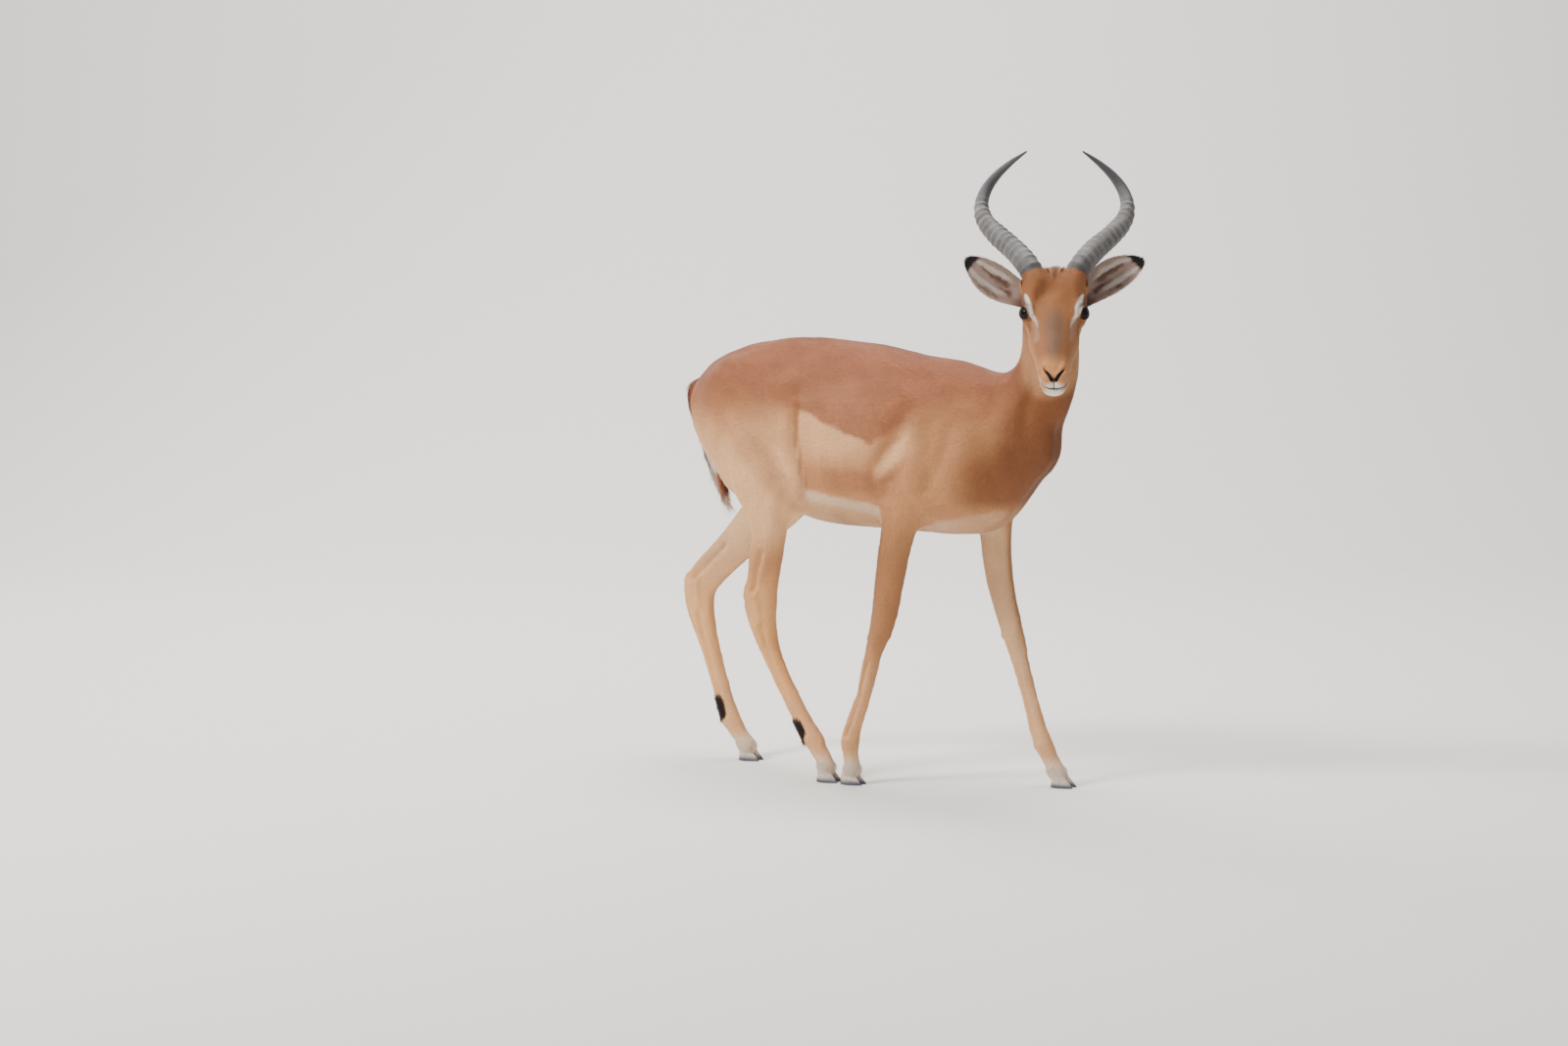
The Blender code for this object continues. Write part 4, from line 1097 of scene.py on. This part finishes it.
sheath = plain_material("horn_sheath", (0.2, 0.2, 0.2), 0.50, Specular_IOR_Level=0.4)
nodes, links = sheath.node_tree.nodes, sheath.node_tree.links
place = nodes.new("ShaderNodeUVMap")  # its colours are streaked and cracked along the horn
place.uv_map = "OFBake"
stretch = nodes.new("ShaderNodeMapping")
set_sockets(stretch, Scale=(60, 9, 1))
noise = nodes.new("ShaderNodeTexNoise")
set_sockets(noise, Scale=1, Detail=6, Roughness=0.65)
shade = nodes.new("ShaderNodeMapRange")
set_sockets(shade, From_Min=0.30, From_Max=0.70, To_Min=0.62, To_Max=1.30)
tint = nodes.new("ShaderNodeVectorMath")
tint.operation = "SCALE"
links.new(place.outputs["UV"], stretch.inputs["Vector"])
links.new(stretch.outputs["Vector"], noise.inputs["Vector"])
links.new(noise.outputs["Fac"], shade.inputs["Value"])
links.new(take_colours(sheath).outputs["Color"], tint.inputs["Vector"])
links.new(shade.outputs["Result"], tint.inputs["Scale"])
links.new(tint.outputs["Vector"], nodes["Principled BSDF"].inputs["Base Color"])
add_bump(sheath, noise.outputs["Fac"], 0.80, 0.0014)

HORN_RADIUS = 0.0232
RING_HEIGHT = 0.0025
RING_COUNT = 17
RINGED = 0.68  # of the horn's length
HORN_FEET = {side: in_head(0, 0.004, side * 0.041) for side in (1, -1)}
HORN_ROWS = (  # outwards, backwards and upwards from its foot
    (-0.010, 0.006, -0.030),
    (-0.005, 0.002, -0.012),
    (0.010, 0.019, 0.018),
    (0.039, 0.064, 0.050),
    (0.074, 0.114, 0.079),
    (0.098, 0.160, 0.105),
    (0.107, 0.196, 0.134),
    (0.100, 0.218, 0.165),
    (0.080, 0.226, 0.195),
    (0.050, 0.221, 0.223),
    (0.015, 0.203, 0.248),
)
for side, name in ((1, "horn_left"), (-1, "horn_right")):
    outwards, backwards, upwards = smooth_rows(HORN_ROWS, 40).T
    path = HORN_FEET[side] + np.outer(outwards * side, LEFT) - np.outer(backwards, FACING)
    path += np.outer(upwards, UP)
    lengths = np.concatenate(([0], np.cumsum(np.linalg.norm(np.diff(path, axis=0), axis=1))))
    stations, sides = 300, 40
    t = np.linspace(0, 1, stations)
    path = np.column_stack([np.interp(t * lengths[-1], lengths, path[:, axis]) for axis in range(3)])
    ahead = unit(np.gradient(path, axis=0))
    across = unit(LEFT - ahead * (ahead @ LEFT)[:, None])
    front = np.cross(ahead, across)
    angle = np.linspace(0, 2 * math.pi, sides, endpoint=False)
    ring_at = RING_COUNT * (t / RINGED) ** 0.93  # counts the rings from the root
    turn = 2 * math.pi * ring_at[:, None] + 0.35 * np.sin(angle)[None, :] * side
    wave = np.cos(turn + 0.55 * np.sin(turn) + 0.5 * np.sin(3.1 * ring_at)[:, None])
    crest = np.where(wave > 0, np.abs(wave) ** 0.8, -0.55 * np.abs(wave) ** 1.3)
    facing_front = 0.62 + 0.38 * np.cos(angle - math.radians(90))[None, :] * np.sign(front[0] @ FACING)
    fade = (ramp(t, 0.06, 0.10) * fall(t, 0.60, 0.72) * (1 - 0.35 * t))[:, None]
    uneven = 0.75 + 0.25 * np.sin(7.3 * np.floor(ring_at)[:, None] + 1.7 * np.sin(angle * 2)[None, :])
    radius = HORN_RADIUS * (1 - 0.10 * t - 0.83 * t**2.3) * (0.62 + 0.38 * ramp(t, 0.036, 0.078))
    radius = np.maximum(radius, 0.0016)[:, None] * np.ones((1, sides))
    radius[-1] *= 0.3
    bold = np.interp(t, (0, 0.20, 0.42, 0.75), (0.55, 0.75, 1.35, 1.0))[:, None]
    ridge = RING_HEIGHT * crest * facing_front * fade * uneven * bold
    shape = path[:, None] + (across[:, None] * np.cos(angle)[None, :, None]) * (radius + ridge)[..., None]
    shape += (front[:, None] * np.sin(angle)[None, :, None]) * (radius * 1.08 + ridge)[..., None]
    bm = bmesh.new()
    grid = [[bm.verts.new(point) for point in ring] for ring in shape]
    layer = bm.loops.layers.uv.new("OFBake")
    for i in range(stations - 1):
        for j in range(sides):
            k = (j + 1) % sides
            face = bm.faces.new((grid[i][j], grid[i][k], grid[i + 1][k], grid[i + 1][j]))
            for loop, (u, v) in zip(face.loops, ((j, i), (j + 1, i), (j + 1, i + 1), (j, i + 1))):
                loop[layer].uv = 0.02 + 0.9 * u / sides, 0.02 + 0.9 * v / stations
    bm.faces.new(list(reversed(grid[0])))
    bm.faces.new(grid[-1])
    obj = object_of(bm, name + "_sheath")
    tone = np.tile(colour(100, 97, 95), (stations * sides, 1))
    # painted highlight on the crest of each ring and painted shade in the grooves between them
    height = (ridge / RING_HEIGHT).ravel()
    tone = tone * (1 + 0.55 * np.clip(height, -0.65, 1))[:, None]
    at = shape.reshape(-1, 3)
    worn = wobble(at, 110, 13) * 0.6 + wobble(at, 330, 14) * 0.4
    tone = tone * (1 + 0.22 * np.clip(worn, -1, 1))[:, None]
    tone = blend(tone, np.array(colour(72, 70, 74)), np.repeat(ramp(t, 0.58, 0.80), sides))
    tone = tone * (1 - 0.50 * np.repeat(fall(t, 0.08, 0.17), sides))[:, None]
    set_colours(obj.data, tone)
    obj.data.materials.append(sheath)
    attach(obj, "root")
    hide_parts(name)

# ---------------------------------------------------------------- hooves
# Two narrow pointed claws of hard horn on each foot, side by side with a slit between them, dusty
# above and dark at the sole's edge. Fine growth rings run round the wall.

hoof_horn = gloss_material("hoof_wall", 0.55)
CLAW_LENGTH = 0.050
CLAW_HALF_WIDTH = 0.0092
CLAW_HEIGHT = 0.034
for foot in LEGS:
    for place in ("inner", "outer") if "right" in foot else ("outer", "inner"):
        name = f"hoof_{foot}_{place}"
        low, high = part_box(name)
        levels, outline = 22, 40
        share = np.linspace(0, 1, levels)
        scale = np.interp(share, (0, 0.07, 0.5, 0.8, 1), (0.955, 1.0, 0.935, 0.86, 0.72))
        scale += 0.006 * np.sin(share * 46) * ramp(share, 0.08, 0.2)
        angle = np.linspace(0, 2 * math.pi, outline, endpoint=False)
        along, wide = np.cos(angle), np.sin(angle)
        heel = low.x + 0.0015
        bm = bmesh.new()
        rings = []
        for level in range(levels):
            height, size = CLAW_HEIGHT * share[level], scale[level]
            x = heel + CLAW_LENGTH * (0.5 + 0.5 * along * size)
            forward = (x - heel) / CLAW_LENGTH
            x = x - height * 0.75 * forward
            broad = wide * (1 - 0.30 * along - 0.10 * along**2)
            y = (low.y + high.y) / 2 + CLAW_HALF_WIDTH * broad * size * 0.98
            z = low.z + height * (0.62 + 0.38 * forward) * 0.97 + 0.0001
            rings.append([bm.verts.new(point) for point in zip(x, y, z)])
        for under, over in zip(rings, rings[1:]):
            for i in range(outline):
                k = (i + 1) % outline
                bm.faces.new((under[i], under[k], over[k], over[i]))
        bm.faces.new(list(reversed(rings[0])))
        bm.faces.new(rings[-1])
        obj = object_of(bm, name + "_wall")
        at = points_of(obj.data)
        dark, dusty = np.array(colour(88, 92, 100)), np.array(colour(204, 192, 178))
        tone = blend(dark, dusty, ramp(at[:, 2] - low.z, 0.003, 0.014))
        tone = tone * (1 + 0.14 * wobble(at, 500, 9) + 0.10 * wobble(at, 1800, 10))[:, None]
        set_colours(obj.data, np.clip(tone, 0, 1))
        obj.data.set_sharp_from_angle(angle=math.radians(50))
        obj.data.materials.append(hoof_horn)
        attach(obj, "root")
        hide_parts(name)

# ---------------------------------------------------------------- coat
# The hair: short, fine and sleek, lying back along the body and down the legs. It is thin pointed
# tufts rooted in the skin, each flat with normals that lean out from its midline, and longer only where the
# animal's is.


def along_skin(flow, facing):
    """What is left of a direction when the part that points out of the skin is taken off."""
    return flow - facing * (flow * facing).sum(axis=1)[:, None]


def lie(at, facing):
    """Which way the hair lies at points of the body and head."""
    x, y, z = at.T
    flow = np.tile((-1.0, 0, -0.28), (len(at), 1))
    near_leg = np.maximum(hump(x, 0.13, 0.26), hump(x, -0.30, 0.30))
    down = np.maximum(fall(z, 0.56, 0.76) * near_leg, fall(z, 0.50, 0.54))
    down = np.maximum(down, ramp(x, 0.26, 0.32) * fall(z, 0.70, 0.85))
    flow = blend(flow, np.array((-0.15, 0, -1.0)), down)
    flow = blend(flow, np.array((-0.35, 0.02, -1.0)), ramp(x, 0.22, 0.30) * ramp(z, 0.74, 0.82))
    # on the head back from the nose, out over the lips, and down the chin
    along, out, left = head_axes(at)
    back = -NOSE + np.outer(left * 6, LEFT) - np.outer(ramp(-out, 0.03, 0.10) * 0.5, BROW)
    sideways = np.outer(np.sign(left) * 0.8 + left * 20, LEFT) - BROW * 0.5 - NOSE * 0.4
    back = blend(back, sideways, ramp(along, 0.214, 0.228) * ramp(-out, 0.008, 0.018))
    back = blend(back, -(BROW + NOSE * 0.3), ramp(along, 0.200, 0.212) * ramp(-out, 0.030, 0.036))
    flow = blend(flow, back, fall(distance(at, HEAD), 0.13, 0.18) * ramp(z, 0.80, 0.83))
    tail = np.array((0.10, 0, -1.0)) + np.outer((y - MIDDLE_Y) * 12, (0, 1, 0))
    flow = np.where(on_tail(at)[:, None], tail, flow)
    flow = flow + 0.22 * wobble(at, 40, 11)[:, None] * np.cross(facing, flow)
    return unit(along_skin(flow, facing) + np.array((0, 0, -1e-6)))


def spread(corners, density, rng):
    """Random spots on triangles: which triangle each is on, and its share of each corner. The
    density is in tufts per square metre."""
    first, second = corners[:, 1] - corners[:, 0], corners[:, 2] - corners[:, 0]
    wanted = np.linalg.norm(np.cross(first, second), axis=1) / 2 * density
    count = np.floor(wanted + rng.random(len(wanted))).astype(int)
    chosen = np.repeat(np.arange(len(corners)), count)
    first, second = rng.random(len(chosen)), rng.random(len(chosen))
    over = first + second > 1
    first[over], second[over] = 1 - first[over], 1 - second[over]
    return chosen, np.column_stack((1 - first - second, first, second))


def at_spots(values, corners, share):
    """Values of the skin's points, taken at spots on its triangles."""
    return (values[corners] * share[..., None]).sum(axis=1)


def tufts(name, hair, place, rng, arch=0.6, stray=0.16):
    """One mesh of tufts. Each has a point at the root, a broad middle and a tip, which stands off
    the skin by arch times the lift. hair has a column for each of the seven things below."""
    root, facing, flow, length, width, lift, tone = hair
    count = len(root)
    flow = unit(flow + np.cross(facing, flow) * rng.normal(0, stray, count)[:, None])
    across = np.cross(facing, flow)
    length = (length * rng.uniform(0.75, 1.25, count))[:, None]
    width = (width * rng.uniform(0.75, 1.25, count))[:, None]
    lift = (lift * rng.uniform(0.5, 1.4, count))[:, None]
    middle = root + flow * length * 0.42 + facing * lift * 0.85
    shape = np.stack(
        (
            root - facing * 0.0005,
            middle - across * width / 2,
            middle + across * width / 2,
            root + flow * length + facing * lift * arch,
        ),
        axis=1,
    )
    leaning = [unit(facing + lean) for lean in (across * -0.35, across * 0.35, flow * 0.15)]
    normal = np.stack([facing] + leaning, axis=1)
    shade = np.array((0.86, 1.0, 1.0, 1.05))[None, :, None]
    value = tone[:, None] * shade * (1 + 0.065 * rng.normal(size=count))[:, None, None]
    patch = np.array(((0, -1), (-1, 0), (1, 0), (0, 1))) * 0.0015
    mesh = bpy.data.meshes.new(name)
    mesh.vertices.add(count * 4)
    mesh.vertices.foreach_set("co", shape.astype(np.float32).ravel())
    faces = (np.arange(count)[:, None, None] * 4 + np.array(((0, 1, 2), (1, 3, 2)))).reshape(-1)
    mesh.loops.add(len(faces))
    mesh.loops.foreach_set("vertex_index", faces.astype(np.int32))
    mesh.polygons.add(len(faces) // 3)
    mesh.polygons.foreach_set("loop_start", np.arange(0, len(faces), 3, dtype=np.int32))
    mesh.update(calc_edges=True)
    spots = (place[:, None] + patch).reshape(-1, 2)[faces]
    mesh.uv_layers.new(name="OFBake").data.foreach_set("uv", spots.astype(np.float32).ravel())
    set_colours(mesh, np.clip(value, 0, 1).reshape(-1, 3))
    mesh.shade_smooth()
    mesh.normals_split_custom_set_from_vertices(normal.reshape(-1, 3).astype(np.float32))
    obj = bpy.data.objects.new(name, mesh)
    bpy.context.scene.collection.objects.link(obj)
    mesh.materials.append(fur)
    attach(obj, "root")
    return obj


fur = coat_material("fur", 0.65)
skin.data.calc_loop_triangles()
at = points_of(skin.data)
facing = normals_of(skin.data)
triangles = np.empty(len(skin.data.loop_triangles) * 3, np.int32)
skin.data.loop_triangles.foreach_get("vertices", triangles)
triangles = triangles.reshape(-1, 3)
on_body = (triangles < skin_count).all(axis=1)
corners = at[triangles]
middle = corners.mean(axis=1)
thin = 1.0
# tufts per square metre
BODY_HAIR, SHANK_HAIR, HEAD_HAIR, MUZZLE_HAIR = 385000.0, 430000.0, 760000.0, 1100000.0
CORONET_HAIR, EAR_HAIR = 620000.0, 650000.0
density = np.interp(middle[:, 2], (0.30, 0.50), (SHANK_HAIR, BODY_HAIR))
from_face = distance(middle, FACE)
density = np.where(from_face < 0.165, HEAD_HAIR, density)
density = np.where((from_face < 0.16) & (head_axes(middle)[0] > 0.19), MUZZLE_HAIR, density)
density = np.where(middle[:, 2] < 0.044, CORONET_HAIR, density)
density = np.where(middle[:, 2] < 0.027, 0, density)
rng = np.random.default_rng(12)
chosen, share = spread(corners[on_body], density[on_body] * thin, rng)
trio = triangles[on_body][chosen]
root, own = at_spots(at, trio, share), at_spots(bare, trio, share)
normal = unit(at_spots(facing, trio, share))
keep = own.max(axis=1) < 0.5
for eye in EYES.values():
    keep &= distance(root, eye) > EYE_RADIUS + 0.0006
root, normal, own = root[keep], normal[keep], own[keep]
tone = markings(root, normal, own)
flow = lie(root, normal)
x, y, z = root.T
headed = distance(root, FACE)
along, out, left = head_axes(root)
up_leg = (0.0, 0.10, 0.40, 0.60)
length = np.interp(z, up_leg, (0.0065, 0.0070, 0.0080, 0.0110))
width = np.interp(z, up_leg, (0.0008, 0.0008, 0.0009, 0.0011))
lift = width.copy()
fine = fall(headed, 0.13, 0.19)
muzzle_near = ramp(along, 0.17, 0.22) * (headed < 0.2)
length += (0.0060 - 0.0028 * muzzle_near - length) * fine
width += (0.0007 - 0.0002 * muzzle_near - width) * fine
lift += (0.0008 - 0.0004 * muzzle_near - lift) * fine
for eye in EYES.values():  # shortest round the lids
    length *= 1 - 0.5 * fall(distance(root, eye), 0.022, 0.030)
# longer where the animal's is: breast and belly line, buttocks, throat, glands, coronets and tail
middle_line = fall(np.abs(y - MIDDLE_Y), 0.012, 0.045)
under = ramp(-normal[:, 2], 0.3, 0.9) * (z > 0.50) * (z < 0.68)
longer = 0.9 * under * middle_line + 0.5 * under
longer += 0.9 * middle_line * ramp(x, 0.33, 0.38) * fall(z, 0.70, 0.78)
longer += 0.9 * ramp(-normal[:, 0], 0.3, 0.8) * (x < -0.33) * ramp(z, 0.54, 0.60)
longer += 0.7 * fall(distance(root, in_head(0.05, -0.115, 0)), 0.03, 0.06)
longer += 0.8 * fall(np.hypot(along + 0.006, left * 0.6), 0.012, 0.026) * (out > -0.02) * (headed < 0.2)
gland = gland_tuft(root, 0)
longer += 1.1 * gland + 0.25 * ramp(-normal[:, 0], 0.4, 0.9) * (z < 0.30)
longer += np.where(on_tail(root), np.interp(z, (0.56, 0.66, 0.80), (1.6, 1.6, 0.4)), 0)
length *= 1 + longer
lift *= 1 + 0.9 * np.minimum(longer, 1) + 2.6 * gland
fringe = fall(z, 0.036, 0.048)  # over the hooves' upper edge
length += 0.0080 * fringe
lift += 0.0058 * fringe
regions = {
    "head": headed < 0.165,
    "neck": (x > 0.235) & (z > 0.70),
    "forelegs": (z < 0.52) & (x > -0.11),
    "hindlegs": (z < 0.52) & (x <= -0.11),
    "fore_right": (x > -0.02) & (y < MIDDLE_Y),
    "fore_left": (x > -0.02) & (y >= MIDDLE_Y),
    "rear_right": y < MIDDLE_Y,
    "rear_left": y >= MIDDLE_Y,
}


def unwrap(name, p):
    """Where a region's tufts lie on its unwrap."""
    x, y, z = p.T
    if name == "head":
        a, o, l = head_axes(p)
        turn = np.arctan2(o + 0.055, l)
        reach = np.clip((0.250 - a) + np.hypot(o + 0.055, l), 0, 0.42) / 0.42 * 0.48
        return 0.5 + np.column_stack((np.cos(turn), np.sin(turn))) * reach[:, None]
    if name in ("forelegs", "hindlegs"):
        place = np.empty((len(p), 2))
        for number, side in enumerate(("right", "left")):
            mine = (y > MIDDLE_Y) == number
            leg = LEGS[("front_" if name == "forelegs" else "rear_") + side]
            leg_x, leg_y, leg_z = np.array(leg)[::-1].T
            ahead = x[mine] - np.interp(z[mine], leg_z, leg_x)
            turn = np.arctan2(y[mine] - leg_y[2], ahead) / (2 * math.pi) + 0.5
            place[mine] = np.column_stack((0.01 + 0.5 * number + 0.47 * turn, 0.01 + 0.97 * z[mine] / 0.53))
        return place
    if name == "neck":
        turn = np.arctan2(y - 0.045, x - 0.325) / (2 * math.pi) + 0.5
        return np.column_stack((0.02 + 0.96 * turn, np.interp(z, (0.68, 1.06), (0.02, 0.98))))
    centre_z = np.interp(x, (-0.45, -0.2, 0.2, 0.35), (0.74, 0.73, 0.71, 0.76))
    turn = np.arctan2(z - centre_z, np.abs(y - MIDDLE_Y)) / math.pi + 0.5
    spot = np.interp(x, (-0.02, 0.40) if "fore" in name else (-0.48, -0.02), (0.02, 0.98))
    return np.column_stack((spot, 0.02 + 0.96 * turn))


hair = root, normal, flow, length, width, lift, tone
left_over = np.ones(len(root), bool)
for name, test in regions.items():
    mine = np.nonzero(test & left_over)[0]
    left_over &= ~test
    obj = tufts("coat_" + name, [column[mine] for column in hair], unwrap(name, root[mine]), rng)

# ---------------------------------------------------------------- ear hair and lashes
# Fine hair over both faces of the ears, long and white between the ribs inside, with a fringe on
# the rim, the dark hair round the horns' roots, and the black lashes of the upper lids.

chosen, share = spread(corners[~on_body], np.full((~on_body).sum(), EAR_HAIR * thin), rng)
trio = triangles[~on_body][chosen]
root, normal = at_spots(at, trio, share), unit(at_spots(facing, trio, share))
layer = np.empty(len(skin.data.vertices) * 4, np.float32)
skin.data.color_attributes["Coat"].data.foreach_get("color", layer)
tone = at_spots(layer.reshape(-1, 4)[:, :3], trio, share)
flow, place = np.empty_like(root), np.empty((len(root), 2))
length, lift = np.full(len(root), 0.0060), np.full(len(root), 0.0006)
for number, (base, reach, across, opening) in ears.items():
    mine = np.nonzero((root - POLL) @ LEFT * number > 0)[0]
    off = root[mine] - base
    t, side = off @ reach / EAR_LENGTH, off @ across / EAR_HALF_WIDTH
    inside = normal[mine] @ opening > 0.1
    rim = ramp(np.abs(side) / np.interp(t, EAR_AT, np.array(EAR_HALF) / EAR_HALF_WIDTH), 0.80, 0.95)
    outwards = (0.20 * side + 0.30 * rim * np.sign(side))[:, None] * inside[:, None]
    flow[mine] = reach + across * outwards
    pale = ramp(tone[mine].mean(axis=1), 0.25, 0.45)
    long = 0.0075 + 0.0065 * pale * ramp(t, 0.05, 0.3) * fall(t, 0.7, 0.9)
    length[mine] = np.where(inside, long, 0.0060) * (1 - 0.45 * rim)
    lift[mine] = np.where(inside, 0.0010 + 0.0018 * pale * fall(t, 0.6, 0.9), 0.0006) * (1 - 0.5 * rim)
    u = 0.25 + 0.20 * np.clip(side, -1.1, 1.1) + 0.5 * inside
    v = 0.03 + 0.44 * np.clip(t, 0, 1.05) + 0.5 * (number > 0)
    place[mine] = np.column_stack((u, v))
width = np.full(len(root), 0.0008)
hair = root, normal, unit(along_skin(flow, normal)), length, width, lift, tone
obj = tufts("coat_ears", hair, place, rng, 1.0, 0.22)

strands = []


def add_strands(root, facing, flow, length, width, lift, tone):
    """Keeps strands for one mesh. Every strand gets the same where one value is given."""
    facing = unit(np.broadcast_to(facing, root.shape))
    flow = unit(along_skin(np.broadcast_to(flow, root.shape), facing))
    sizes = [np.full(len(root), size) for size in (length, width, lift)]
    strands.append([root, facing, flow, *sizes, tone])


LASHES = 70
SKIRT_HAIRS = 900
for side, eye in EYES.items():
    gaze, slit, above = eye_axes(side)
    across = np.linspace(-0.86, 0.90, LASHES)
    high = lid_edge(across, UPPER_LID) + 0.02
    wide = np.hypot(across, high)
    ray = gaze * np.cos(wide)[:, None]
    ray = ray + (np.outer(across, slit) + np.outer(high, above)) * (np.sin(wide) / wide)[:, None]
    base = eye + ray * (EYE_RADIUS + 0.0012)
    black = np.tile(PALETTE["black"], (LASHES, 1))
    add_strands(base, above - slit * 0.2, ray + slit * across[:, None] * 0.4, 0.0054, 0.0004, 0.0015, black)
    # the skirt of hair at the horn's root
    turn = rng.uniform(0, 2 * math.pi, SKIRT_HAIRS)
    axis = horn_axis(side)
    first = unit(LEFT - axis * (LEFT @ axis))
    ring = np.outer(np.cos(turn), first) + np.outer(np.sin(turn), np.cross(axis, first))
    base = HORN_FEET[side] + UP * 0.004 + ring * 0.0270
    base -= np.outer(0.004 + 0.012 * rng.random(SKIRT_HAIRS), axis)
    base = np.array([surface.find_nearest(Vector(point))[0] for point in base])
    brown = 0.35 * ramp(wobble(base, 260, 15), 0.0, 0.6)
    shade = paint(np.tile(PALETTE["orange"], (SKIRT_HAIRS, 1)), "brown", brown)
    add_strands(base, ring, axis + ring * 0.10, 0.0095, 0.0008, 0.0014, shade)
hair = [np.concatenate(column) for column in zip(*strands)]
count = len(hair[0])
place = np.column_stack((0.02 + 0.96 * rng.random(count), 0.02 + 0.96 * rng.random(count)))
obj = tufts("lashes_and_horn_skirts", hair, place, rng, 1.0)

low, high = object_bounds()
